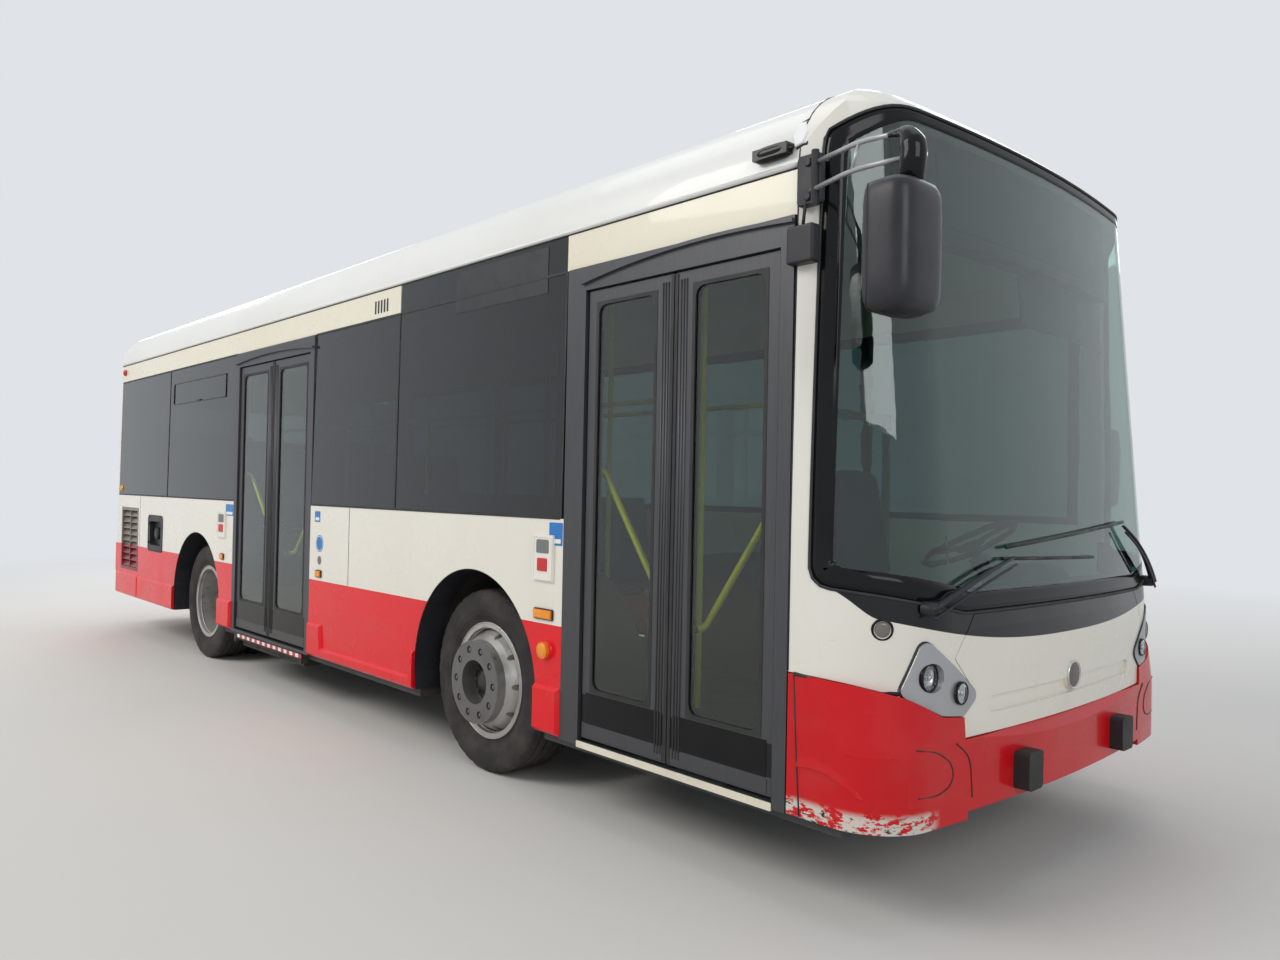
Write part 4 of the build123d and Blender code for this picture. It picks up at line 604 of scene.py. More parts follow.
def smooth_route(corners, radius, steps=6):
    """Runs through the corners with each one rounded."""
    corners = [Vector(c) for c in corners]
    points = [corners[0]]
    for before, here, after in zip(corners, corners[1:], corners[2:]):
        back, on = (before - here), (after - here)
        cut = min(radius, back.length * 0.45, on.length * 0.45)
        points += curve(here + back.normalized() * cut, here, here + on.normalized() * cut, steps)
    return points + [corners[-1]]


# Camera, light and floor
yaw, pitch, roll = (math.radians(v) for v in (CAMERA_YAW, CAMERA_PITCH, CAMERA_ROLL))
ahead_dir = Vector((math.cos(yaw) * math.cos(pitch), math.sin(yaw) * math.cos(pitch), math.sin(pitch)))
right_dir = Vector((math.sin(yaw), -math.cos(yaw), 0.0))
up_dir = right_dir.cross(ahead_dir)
turned_right = right_dir * math.cos(roll) + up_dir * math.sin(roll)
turned_up = up_dir * math.cos(roll) - right_dir * math.sin(roll)
camera_data = bpy.data.cameras.new("camera")
camera_data.lens = CAMERA_LENS
camera_data.sensor_width = 36.0
camera = bpy.data.objects.new("camera", camera_data)
bpy.context.scene.collection.objects.link(camera)
turn = Matrix((turned_right, turned_up, -ahead_dir)).transposed().to_4x4()
camera.matrix_world = Matrix.Translation(CAMERA_AT) @ turn
bpy.context.scene.camera = camera

bpy.context.scene.view_settings.view_transform = "Standard"
world = bpy.data.worlds.new("studio")
bpy.context.scene.world = world
world.use_nodes = True
background = world.node_tree.nodes["Background"]
background.inputs["Color"].default_value = (0.8, 0.86, 0.92, 1)
background.inputs["Strength"].default_value = 0.45
BACKDROP = (224, 227, 231)
shown = new_node(world.node_tree, "Background", {"Color": BACKDROP})


def looked_at(tree):
    """1 for rays that show the backdrop: seen, mirrored or through glass."""
    rays = new_node(tree, "LightPath", {}).outputs
    value = rays["Is Camera Ray"]
    for kind in ("Is Transmission Ray", "Is Glossy Ray"):
        value = new_node(tree, "Math", {0: value, 1: rays[kind]}, operation="MAXIMUM").outputs[0]
    return value


mixed(world.node_tree, looked_at(world.node_tree), background.outputs[0], shown.outputs[0], "World Output")


def area_light(name, at, target, size, power, colour=(1, 1, 1)):
    data = bpy.data.lights.new(name, "AREA")
    data.shape = "RECTANGLE"
    data.size, data.size_y = size
    data.energy = power
    data.color = colour
    made = bpy.data.objects.new(name, data)
    bpy.context.scene.collection.objects.link(made)
    made.location = at
    made.rotation_mode = "QUATERNION"
    made.rotation_quaternion = (Vector(target) - Vector(at)).to_track_quat("-Z", "Y")
    return made


area_light("key", (-3, -11, 9.5), (0, 0, 1.2), (9, 6), 950, (1.0, 0.97, 0.92))
area_light("front_fill", (13, -5, 6), (3.5, 0, 1.4), (6, 5), 330)
area_light("top", (0, 0, 12), (0, 0, 1), (14, 6), 215)
area_light("left_fill", (-2, 11, 8), (0, 0, 1.2), (9, 6), 480)
area_light("rear_fill", (-12, 3, 5), (-4, 0, 1.3), (5, 4), 260)

# Floor: pale, and far off it passes into the backdrop's own tone
FLOOR_REACH = 70.0
floor_finish = Finish("studio_floor", None, rough=0.85)
floor_finish.colour(floor_finish.blend(floor_finish.noise(0.5, 4.0), (214, 212, 208), (220, 218, 214)))
distance = floor_finish.new("VectorMath", {0: floor_finish.coords}, operation="LENGTH")
far_off = floor_finish.step(distance.outputs["Value"], 5.5, 15.0)
glow = floor_finish.new("Emission", {"Color": BACKDROP})
fade = floor_finish.times(far_off, looked_at(floor_finish.tree))
mixed(floor_finish.tree, fade, floor_finish.shader.outputs[0], glow.outputs[0], "Material Output")
floor_mesh = bpy.data.meshes.new("studio_floor")
floor_corners = [(x * FLOOR_REACH, y * FLOOR_REACH, 0) for x, y in ((-1, -1), (1, -1), (1, 1), (-1, 1))]
floor_mesh.from_pydata(floor_corners, [], [(0, 1, 2, 3)])
studio_floor = bpy.data.objects.new("studio_floor", floor_mesh)
studio_floor.data.materials.append(floor_finish.material)
bpy.context.scene.collection.objects.link(studio_floor)

# Softer gloss where the studio would wash the colour out
for coat, gloss in ((red_paint, 0.18), (shaded_bumper_paint, 0.18), (front_paint, 0.2), (black_trim, 0.22),
                    (black_plastic, 0.3), (mirror_shell, 0.3), (tyre_rubber, 0.3)):
    put(gloss, coat.shader.inputs["Specular IOR Level"])

# Finishes of the CAD nodes
NODE_FINISHES = [
    (front_paint, "front_mask front_flap"), (screen_glass, "windscreen"), (bezel_silver, "headlamps"),
    (shaded_bumper_paint, "front_bumper"), (black_rubber, "bump_stops"), (white_paint, "side_panels rear_mask"),
    (cream_paint, "cream_bands"), (red_paint, "side_skirts rear_bumper"), (tinted_glass, "window_panes"),
    (black_plastic, "window_posts steering_wheel wipers filler_recess"), (roof_paint, "roof"),
    (door_paint, "engine_door"), (floor_cover, "floor"), (box_plastic, "wheel_boxes"),
    (steel_dark, "engine chassis axles ramp_cassette knuckle_left knuckle_right"),
    (dash_plastic, "dashboard"), (seat_plastic, "seats"), (seat_cloth, "driver_seat"),
    (grey_plastic, "driver_partition"),
    (yellow_rail, "handrails"), (mirror_shell, "mirrors"), (grille_paint_with_hole_shade, "side_grille"),
    (fitting_finish, "body_fittings"),
]
KIND_FINISHES = [("tyre", tyre_rubber), ("rim", wheel_steel), ("leaf", leaf_finish), ("glass", door_glass)]
finish_of = {name: finish for finish, names in NODE_FINISHES for name in names.split()}
for name, node in nodes.items():
    by_kind = [finish for kind, finish in KIND_FINISHES if name.startswith(kind) or name.endswith(kind)]
    finish = finish_of.get(name) or (by_kind + [anodised])[0]
    node.data.materials.clear()
    node.data.materials.append(finish.material)


# Edges of the CAD's own faces
def nose_place(point):
    """Arc length along the nose's plan and distance off its surface."""
    side = 1 if point.y >= 0 else -1
    x, y = point.x + RAKE_SLOPE * max(point.z - RAKE_Z, 0.0), abs(point.y)
    turned = math.atan2(y, x - FRONT_CENTRE)
    if turned < TURN:
        return side * NOSE_RADIUS * turned, math.hypot(x - FRONT_CENTRE, y) - NOSE_RADIUS
    turned = math.atan2(y - CORNER_Y, x - CORNER_X)
    if turned < math.pi / 2:
        return (side * (ARC + CORNER_RADIUS * (turned - TURN)),
                math.hypot(x - CORNER_X, y - CORNER_Y) - CORNER_RADIUS)
    return side * (ARC + BEND + CORNER_X - x), y - HALF_WIDTH


def outer_edge(node):
    """Edge of a node's face on the nose, in order, as (arc length, height)."""
    shaped = bmesh.new()
    shaped.from_mesh(nodes[node].data)
    bmesh.ops.remove_doubles(shaped, verts=shaped.verts, dist=0.00005)
    shaped.verts.index_update()
    places = {}
    for vert in shaped.verts:
        s, off = nose_place(vert.co)
        if abs(off) < 0.001:
            places[vert.index] = (s, vert.co.z)
    beside = {}
    for edge_of in shaped.edges:
        outer = [face for face in edge_of.link_faces if all(v.index in places for v in face.verts)]
        if len(outer) == 1:
            a, b = (v.index for v in edge_of.verts)
            beside.setdefault(a, []).append(b)
            beside.setdefault(b, []).append(a)
    start = min(beside)
    loop, before, here = [start], start, beside[start][0]
    while here != start:
        loop.append(here)
        onward = [v for v in beside[here] if v != before]
        before, here = here, onward[0]
    shaped.free()
    outline = [places[k] for k in loop]
    twice_area = sum(a[0] * b[1] - b[0] * a[1] for a, b in zip(outline, outline[1:] + outline[:1]))
    return outline if twice_area > 0 else outline[::-1]


def resampled(outline, count):
    """The closed outline with evenly spaced points."""
    ends = outline[1:] + outline[:1]
    lengths = [math.dist(a, b) for a, b in zip(outline, ends)]
    step, points, walked, target = sum(lengths) / count, [], 0.0, 0.0
    for a, b, length in zip(outline, ends, lengths):
        while target < walked + length and len(points) < count:
            t = (target - walked) / length
            points.append((a[0] + (b[0] - a[0]) * t, a[1] + (b[1] - a[1]) * t))
            target += step
        walked += length
    return points


def border_width(across, up):
    return 0.078 * abs(across) + (0.07 if up > 0 else 0.045) * abs(up)


# Windscreen: printed black border and rubber seal
screen_edge = resampled(outer_edge("windscreen"), 240)
border = Shape().band(screen_edge, inset(screen_edge, border_width), nose, -0.001, 0.0015, 3)
border.make("windscreen_border", black_trim, smooth=True)
seal = [nose(s, z, 0.0) for s, z in shrunk(screen_edge, -0.002)]
rod("windscreen_seal", seal, 0.006, black_rubber, closed=True)

# Display box and sun blind behind the top of the windscreen
BEHIND_SCREEN = [
    ("front_display_box", black_plastic, (-0.86, 0.86, 2.42, 2.8, -0.16, -0.06, 16)),
    ("front_display_panel", screen_panel, (-0.72, 0.72, 2.47, 2.74, -0.06, -0.057, 16)),
    ("sun_blind", black_plastic, (-0.06, 0.94, 2.18, 2.42, -0.115, -0.11, 12)),
]
for name, finish, sizes in BEHIND_SCREEN:
    Shape().slab(nose_yz, *sizes).make(name, finish)

# Front flap and bumper: dark seams, raised corner ribs, badge rim and the gap over the bumper
SEAM_LINES = [
    ("bumper_gap", 0.008, [(4.078, 1.223, 0.834), (4.15, 1.217, 0.829), (4.293, 1.163, 0.812),
                            (4.4, 1.067, 0.796)]),
    ("bumper_side_seam", 0.0035, [(4.076, 1.2245, 0.83), (4.093, 1.2245, 0.549), (4.109, 1.2245, 0.345)]),
    ("bumper_centre_seam", 0.0028, [(4.495, 0.852, 0.613), (4.503, 0.773, 0.558), (4.504, 0.757, 0.413)]),
    ("bumper_cover_line", 0.0028, [(4.465, 1.058, 0.617), (4.482, 0.958, 0.6), (4.491, 0.884, 0.554),
                                   (4.493, 0.866, 0.509), (4.491, 0.888, 0.471), (4.483, 0.954, 0.451),
                                   (4.467, 1.051, 0.457)]),
]
RIB_HIGH = [(4.098, 1.225, 0.55), (4.164, 1.225, 0.556), (4.24, 1.225, 0.545), (4.29, 1.218, 0.519),
            (4.328, 1.206, 0.484), (4.352, 1.195, 0.452)]
RIB_LOW = [(4.098, 1.225, 0.515), (4.151, 1.225, 0.522), (4.213, 1.225, 0.519), (4.266, 1.223, 0.503),
           (4.307, 1.214, 0.48), (4.334, 1.204, 0.456)]


def corner_out(point):
    """Outward direction in plan on the bumper's corner."""
    return Vector((max(point[0] - BUMPER_CORNER[0], 0.0), point[1] - BUMPER_CORNER[1], 0.0)).normalized()


for hand, side in SIDES:
    for label, radius, points in SEAM_LINES:
        route = smooth_route([(x, side * y, z) for x, y, z in points], 0.05, 4)
        rod(f"{label}_{hand}", route, radius, black_rubber)
    rings = []
    for high_at, low_at in zip(RIB_HIGH, RIB_LOW):
        section = ((high_at, -0.003), (high_at, 0.0), (low_at, 0.006), (low_at, -0.003))
        ring = [Vector(at) + corner_out(at) * reach for at, reach in section]
        rings.append([Vector((p.x, side * p.y, p.z)) for p in ring])
    Shape().rings(rings).make(f"bumper_rib_{hand}", shaded_bumper_paint)
AHEAD = (1, 0, 0)
DISC_AT = (NOSE_X + 0.008, 0, 0.76)
DISC_RIM = [(0.0505, -0.002), (0.0545, 0.003), (0.0575, 0.001), (0.0585, -0.004)]
DISC_FACE = [(0.0, 0.0018), (0.03, 0.0014), (0.05, 0.0)]
turned("front_disc_rim", DISC_RIM, DISC_AT, AHEAD, bright_metal, 48)
turned("front_disc_face", DISC_FACE, DISC_AT, AHEAD, disc_metal, 48)

# Headlamps: reflector bowl, domed lens and dark ring in each recess, gasket round the bezel
LAMPS = [("main", 0.968, 0.847, 0.05, 4.428, 0.03), ("dipped", 0.83, 0.785, 0.04, 4.485, 0.018)]
BEZEL_OUTLINE = [(0.716, 0.768), (0.859, 0.8765), (1.002, 0.985), (1.078, 0.792), (0.925, 0.716),
                 (0.806, 0.702)]
CORNER_LAMP = (1.113, 1.011)
CORNER_LENS = [(0.0, 0.004), (0.018, 0.0035), (0.026, 0.001), (0.029, -0.004)]
# Raised ring round the corner lamp's lens, black as painted shadow round the lens.
CORNER_SHADOW_RIM = [(0.028, -0.003), (0.031, 0.0025), (0.036, 0.0015), (0.039, -0.003)]


def lamp_parts(r, d):
    """Name, finish, segments and profile of each part in a recess of that radius and depth."""
    return [
        ("bowl", lamp_silver, 40, [(0.004, 0.0105), (r * 0.45, 0.011), (r * 0.8, 0.011 + d * 0.15),
                                   (r - 0.005, d - 0.004), (r - 0.003, d - 0.006), (r * 0.5, 0.0102)]),
        ("bulb", lamp_silver, 20, [(0.0, d - 0.001), (0.007, d - 0.002), (0.01, d - 0.004), (0.01, 0.01)]),
        ("lens", lens_glass, 40, [(0.0, d + 0.006), (r * 0.55, d + 0.0045), (r * 0.85, d),
                                  (r - 0.0045, d - 0.003), (r - 0.0045, d - 0.005), (r * 0.85, d - 0.002),
                                  (0.0, d + 0.003)]),
        ("ring", black_trim, 40, [(r - 0.006, d - 0.008), (r - 0.006, d - 0.001), (r - 0.003, d + 0.001),
                                  (r + 0.0006, d - 0.001), (r + 0.0006, d - 0.008)]),
    ]


for hand, side in SIDES:
    for label, y, z, radius, x, depth in LAMPS:
        for part, finish, segments, profile in lamp_parts(radius, depth):
            turned(f"{label}_lamp_{part}_{hand}", profile, (x, side * y, z), AHEAD, finish, segments)
    route = smooth_route(BEZEL_OUTLINE[1:] + BEZEL_OUTLINE[:2], 0.045)[:-1]
    gasket = [nose_yz(side * p.x, p.y, 0.0015) for p in route]
    rod(f"bezel_gasket_{hand}", gasket, 0.0048, black_rubber, closed=True)
    y, z = CORNER_LAMP
    corner = nose_yz(side * y, z, 0.0)
    out = (nose_yz(side * y, z, 0.01) - corner).normalized()
    turned(f"corner_lamp_{hand}", CORNER_LENS, corner, out, corner_lens, 28)
    # The corner lamp's raised rim is black as painted shadow round its lens.
    turned(f"corner_lamp_shadow_rim_{hand}", CORNER_SHADOW_RIM, corner, out, black_trim, 28)

# Wipers: tapered arms from the pivots, a link and a blade with its bows and rubber edge
WIPERS = [
    ("right", (-0.985, 1.082), (-0.5, 1.246), (-0.56, 1.243), (0.19, 1.226)),
    ("left", (0.965, 1.085), (0.567, 1.35), (-0.535, 1.284), (0.585, 1.368)),
]
BLADE_STEPS = 16
BLADE_BOWS = ((1, 3, 5), (6, 8, 10), (11, 13, 15))
LIP_SECTION = ((-0.004, 0.013), (0.004, 0.013), (0.0008, 0.0016), (-0.0008, 0.0016))
for hand, pivot, elbow, start, end in WIPERS:
    halfway = nose_yz((pivot[0] + elbow[0]) / 2, (pivot[1] + elbow[1]) / 2 + 0.02, 0.04)
    route = arc_points(nose_yz(*pivot, 0.042), halfway, nose_yz(*elbow, 0.026), 10)
    arm = Shape().sweep(route, [0.017 - 0.0009 * k for k in range(len(route))], 10, flat=0.6, up=(0, 0, 1))
    arm.lathe([(0.0, 0.05), (0.018, 0.049), (0.024, 0.043), (0.026, 0.01), (0.026, -0.004)],
              nose_yz(*pivot, 0.0), AHEAD, 28)
    arm.sweep([p + Vector((0.01, 0, -0.028)) for p in route], 0.005, 8)
    made = arm.make(f"wiper_arm_{hand}", black_plastic, smooth=True)
    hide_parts("wipers")
    spine = [tuple(a + (b - a) * k / BLADE_STEPS for a, b in zip(start, end)) for k in range(BLADE_STEPS + 1)]
    blade = Shape().sweep([nose_yz(y, z, 0.018) for y, z in spine], 0.008, 8, flat=0.9)
    for bow in BLADE_BOWS:
        bowed = [nose_yz(*spine[k], reach) for k, reach in zip(bow, (0.018, 0.032, 0.018))]
        blade.sweep(arc_points(*bowed, 8), 0.0045, 8)
    blade.make(f"wiper_blade_{hand}", black_plastic, smooth=True)
    Shape().rings([[nose_yz(y, z + rise, reach) for rise, reach in LIP_SECTION] for y, z in spine]).make(
        f"wiper_rubber_{hand}", black_rubber)


# Mirrors: rounded housing with its seam, glass, shiny elbow, twin arms and the bracket's hinge
def housing_rings(centre, depth, width, height, count=48, levels=25):
    """Tall housing with rounded ends and corners, bulging forward."""
    rings = []
    for k in range(levels):
        t = -1 + 2 * k / (levels - 1)
        size = max((1 - abs(t) ** 7) ** (1 / 2.6) if abs(t) < 1 else 0.0, 0.06)
        ring = []
        for c, s in turns(count):
            x = depth / 2 * signed_power(c, 0.62) * (0.92 if c < 0 else 1.0)
            y = width / 2 * signed_power(s, 0.45)
            ring.append(centre + Vector((x * (0.35 + 0.65 * size), y * (0.55 + 0.45 * size), height / 2 * t)))
        rings.append(ring)
    return rings


# Hand, side, centre, housing depth and height, elbow thickness, bracket, arms, elbow
MIRRORS = [
    ("right", -1, Vector((4.587, -1.4, 2.21)), (0.184, 0.405, 0.04), (4.059, 4.161, 2.475, 2.655),
     [[(4.146, -1.232, 2.62), (4.38, -1.325, 2.604), (4.56, -1.39, 2.566)],
      [(4.121, -1.232, 2.525), (4.36, -1.335, 2.514), (4.585, -1.4, 2.482)]],
     [(4.53, -1.38, 2.572), (4.6, -1.398, 2.562), (4.63, -1.402, 2.5), (4.612, -1.402, 2.38)]),
    ("left", 1, Vector((4.093, 1.4, 1.64)), (0.12, 0.43, 0.022), (4.059, 4.125, 1.88, 2.01),
     [[(4.111, 1.232, 1.97), (4.111, 1.33, 1.968), (4.108, 1.385, 1.95)],
      [(4.075, 1.232, 1.915), (4.078, 1.33, 1.914), (4.085, 1.385, 1.905)]],
     [(4.1, 1.37, 1.955), (4.098, 1.398, 1.945), (4.096, 1.402, 1.9), (4.094, 1.402, 1.83)]),
]
for hand, side, centre, (depth, height, thick), (x0, x1, z0, z1), arms, elbow in MIRRORS:
    shell = Shape().rings(housing_rings(centre, depth, 0.24, height))
    made = shell.make(f"mirror_housing_{hand}", mirror_shell, smooth=True)
    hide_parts("mirrors")
    loop = []
    for c, s in turns(40):
        loop.append(centre + Vector((-0.23 * depth - 0.02 * c * c, 0.1165 * signed_power(s, 0.34),
                                     0.475 * height * signed_power(c, 0.3))))
    rod(f"mirror_seam_{hand}", loop, 0.003, black_rubber, 6, closed=True)
    back_x = centre.x - 0.452 * depth
    plate(f"mirror_glass_{hand}", oblong(centre.y, centre.z, 0.078, 0.145, 0.035, 6),
          lambda a, b, reach: Vector((back_x - reach, a, b)), -0.004, 0.0035, bright_metal, 0.001)
    rods = Shape()
    for route in arms:
        rods.sweep(smooth_route(route, 0.08), 0.0085, 10)
    rods.sweep([arms[0][1], arms[1][1]], 0.0065, 8).make(f"mirror_arms_{hand}", bezel_silver, smooth=True)
    hook = smooth_route(elbow, 0.06, 8)
    girths = [0.011 + (thick - 0.011) * min(1.7 * k / len(hook), 1.0) for k in range(len(hook))]
    rod(f"mirror_elbow_{hand}", hook, girths, black_trim, 16)
    place = flat(side)
    bracket = Shape().pad(rounded(x0, x1, z0, z1, 0.018), place, -0.018, 0.012, 0.004)
    for z in (z0 + 0.03, z1 - 0.03):
        bracket.lathe([(0.0, 0.014), (0.013, 0.014), (0.016, 0.01), (0.016, -0.004)],
                      place((x0 + x1) / 2, z, 0.006), (0, side, 0), 16)
    bracket.sweep([place(x1 - 0.02, z0 - 0.006, 0.014), place(x1 - 0.02, z1 + 0.006, 0.014)], 0.014, 14)
    bevelled(bracket.make(f"mirror_bracket_{hand}", black_plastic), 0.002)


# Small things round the right front pillar: camera, its cover and the junction box
def roof_corner(x, z, reach):
    """Place on the sloping corner between side and roof."""
    return Vector((x, -1.205 + 0.42 * (z - 2.7) - reach, z))


right_wall = wall(-1)
POD_CENTRE, POD_HALF = (3.9385, -1.222, 2.7035), (0.092, 0.026, 0.029)
LAMP_COVER = [(4.005, 2.752), (4.03, 2.704), (4.062, 2.712), (4.072, 2.756), (4.046, 2.806), (4.016, 2.8)]
LAMP_BACK = [(4.012, 2.748), (4.034, 2.694), (4.078, 2.706), (4.086, 2.76), (4.054, 2.822), (4.018, 2.812)]
rings = []
for t in (-1 + k / 6 for k in range(13)):
    size = max(1 - abs(t) ** 3.5, 0.0) ** 0.5 + 0.08
    ways = [(t, -size * math.cos(a), size * math.sin(a)) for a in (math.pi * j / 9 for j in range(18))]
    rings.append([[c + h * w for c, h, w in zip(POD_CENTRE, POD_HALF, way)] for way in ways])
Shape().rings(rings).make("roof_camera_pod", black_trim, smooth=True)
bevelled(plate("roof_lamp_cover", LAMP_COVER, roof_corner, -0.02, 0.016, label_white, 0.005), 0.003)
plate("roof_lamp_backing", LAMP_BACK, roof_corner, -0.024, 0.004, black_plastic, 0.003)
box = rounded(4.03, 4.147, 2.272, 2.408, 0.012)
bevelled(plate("pillar_box", box, right_wall, -0.004, 0.04, black_plastic, 0.006), 0.003)
lead = [right_wall(4.09, 2.412, 0.02), right_wall(4.098, 2.47, 0.022), right_wall(4.104, 2.505, 0.016)]
rod("pillar_box_lead", smooth_route(lead, 0.03), 0.006, black_rubber)

# Gutters, roof joint and window seams on both sides
GUTTER_XS = (REAR_WALL_X + 0.06, -1.5, 1.5, MASK_X - 0.002)
WINDOW_SEAMS = {"right": (-2.983, 1.188, 2.736), "left": (-2.983, -1.333, -0.05, 1.2, 2.736)}
WINDOW_RUNS = {"right": ((-4.52, -1.35), (0.06, 2.73)), "left": ((-4.52, 4.04),)}
PANEL_JOINTS = {"right": (-3.79, 0.62), "left": (-3.79, -0.675, 1.2)}
for hand, side in SIDES:
    place = wall(side)
    lip = [place(x, GUTTER_Z + 0.004, 0.002) for x in GUTTER_XS]
    rod(f"gutter_lip_{hand}", lip, 0.01, roof_paint, 10, up=(0, 0, 1))
    shadow = [place(x, GUTTER_Z - 0.009, 0.0) for x in GUTTER_XS]
    rod(f"gutter_shadow_{hand}", shadow, 0.0035, black_rubber, 6)
    joint = [place(MASK_X, z, 0.0005) for z in (STRIPE_Z, 1.33, 2.0, GUTTER_Z)]
    for a in (math.radians(10 * k) for k in range(1, 10)):
        bend_y, bend_z = ROOF_FLAT + ROOF_BEND * math.cos(a), GUTTER_Z + ROOF_BEND * math.sin(a)
        joint.append(Vector((MASK_X, side * bend_y, bend_z)))
    for y in (0.6, 0.3, 0.0):
        joint.append(Vector((MASK_X, side * y, ROOF_TOP_Z - ROOF_CROWN * (y / ROOF_FLAT) ** 2)))
    rod(f"roof_joint_{hand}", joint, 0.0028, black_rubber, 6)
    seals = Shape()
    for x in WINDOW_SEAMS[hand]:
        seals.slab(place, x - 0.006, x + 0.006, BELT_Z + 0.003, WINDOW_TOP_Z - 0.003, -0.003, 0.0018)
    for x0, x1 in WINDOW_RUNS[hand]:
        seals.slab(place, x0, x1, BELT_Z - 0.004, BELT_Z + 0.008, -0.002, 0.0022, 8)
        seals.slab(place, x0, x1, WINDOW_TOP_Z - 0.007, WINDOW_TOP_Z + 0.005, -0.002, 0.0022, 8)
    seals.make(f"window_seals_{hand}", black_rubber)
    hopper = Shape().rim(rounded(-2.878, -1.583, 2.144, 2.336, 0.02), 0.01, place, -0.002, 0.005)
    hopper.slab(place, -2.26, -2.17, 2.15, 2.162, 0.0, 0.012).make(f"hopper_window_{hand}", black_trim)
    joints = Shape()
    for x in PANEL_JOINTS[hand]:
        joints.slab(place, x - 0.0025, x + 0.0025, STRIPE_Z + 0.004, BELT_Z - 0.006, -0.001, 0.0008)
    joints.make(f"panel_joints_{hand}", box_plastic)

# Right side: display window, vent, patches and the button panels' faces
right_face = flat(-1)
display = Shape().slab(right_wall, 1.785, 2.589, 2.383, 2.601, -0.001, 0.0012, 4)
display.make("side_display_window", screen_panel)
vent = Shape()
for x in (0.873 + 0.0365 * k for k in range(5)):
    vent.pad(rounded(x, x + 0.018, 2.493, 2.572, 0.007), right_wall, -0.001, 0.0015, 0.0006)
vent.make("band_vent", black_plastic)
PATCHES = [("patch_rear", -1.506, -1.349, 1.211, 1.3), ("patch_middle", 0.125, 0.205, 1.222, 1.292),
           ("patch_front", 2.652, 2.752, 1.207, 1.312)]
for name, x0, x1, z0, z1 in PATCHES:
    plate(name, rounded(x0, x1, z0, z1, 0.006), right_face, -0.001, 0.0012, label_blue, 0.0004)
    plate(f"{name}_stripe", rounded(x0 + 0.012, x1 - 0.012, z0 + 0.01, z0 + 0.03, 0.004), right_face, 0.0,
          0.0019, label_white, 0.0003)
plate("round_patch", circle(0.204, 1.083, 0.055), right_face, -0.001, 0.0012, label_blue, 0.0004)
rim("round_patch_ring", circle(0.204, 1.083, 0.049), 0.004, right_face, 0.0, 0.0019, label_white)
plate("small_round_patch", circle(0.206, 0.974, 0.028), right_face, -0.001, 0.0014, grey_plastic, 0.0004)
BUTTON_PANELS = (("middle", -1.657, -1.487, 1.035, 1.241), ("front", 2.542, 2.695, 1.04, 1.253))
button_face = flat(-1, -0.012)
for label, x0, x1, z0, z1 in BUTTON_PANELS:
    edge = rounded(x0 + 0.004, x1 - 0.004, z0 + 0.004, z1 - 0.004, 0.016)
    window = rounded(x0 + 0.03, x1 - 0.03, z1 - 0.085, z1 - 0.022, 0.008)
    button = rounded(x0 + 0.04, x1 - 0.04, z0 + 0.045, z0 + 0.105, 0.006)
    rim(f"button_frame_{label}", edge, 0.008, button_face, -0.001, 0.003, panel_white)
    plate(f"button_window_{label}", window, button_face, -0.001, 0.003, grey_plastic)
    plate(f"button_red_{label}", button, button_face, -0.001, 0.005, label_red, 0.002)

# Markers: name of the rim and of the lens, side, place, half sizes of the rim and of the lens
MARKERS = [(f"{name}_rim_{hand}", f"{name}_lens_{hand}", side, x, 0.887, (0.04, 0.024), (0.031, 0.016))
           for name, x in (("marker_rear", -1.5575), ("marker_middle", 0.205)) for hand, side in SIDES]
MARKERS.append(("marker_front_rim", "marker_front_lens", -1, 2.6245, 0.8865, (0.0715, 0.0255),
                (0.0625, 0.0165)))
for rim_name, lens_name, side, x, z, rim_half, lens_half in MARKERS:
    rim(rim_name, oblong(x, z, *rim_half, 0.008), 0.006, flat(side), -0.001, 0.008, black_plastic)
    plate(lens_name, oblong(x, z, *lens_half, 0.005), flat(side, -0.014), -0.002, 0.003, orange_lens)
TURN_LAMP = (2.646, -1.2255, 0.723)
TURN_RIM = [(0.037, -0.002), (0.037, 0.012), (0.043, 0.009), (0.046, -0.002)]
TURN_LENS = [(0.0, 0.0325), (0.018, 0.0315), (0.03, 0.0285), (0.0365, 0.022)]
REAR_MARKER = [(0.0, 0.016), (0.02, 0.014), (0.03, 0.006), (0.032, -0.004)]
turned("turn_lamp_rim", TURN_RIM, TURN_LAMP, (0, -1, 0), red_paint)
turned("turn_lamp_lens", TURN_LENS, TURN_LAMP, (0, -1, 0), orange_lens)
for label, z, finish in (("high", 2.556, label_red), ("low", 1.394, orange_lens)):
    for hand, side in SIDES:
        at = (-4.435, side * 1.2235, z)
        turned(f"rear_marker_{label}_{hand}", REAR_MARKER, at, (0, side, 0), finish, 28)

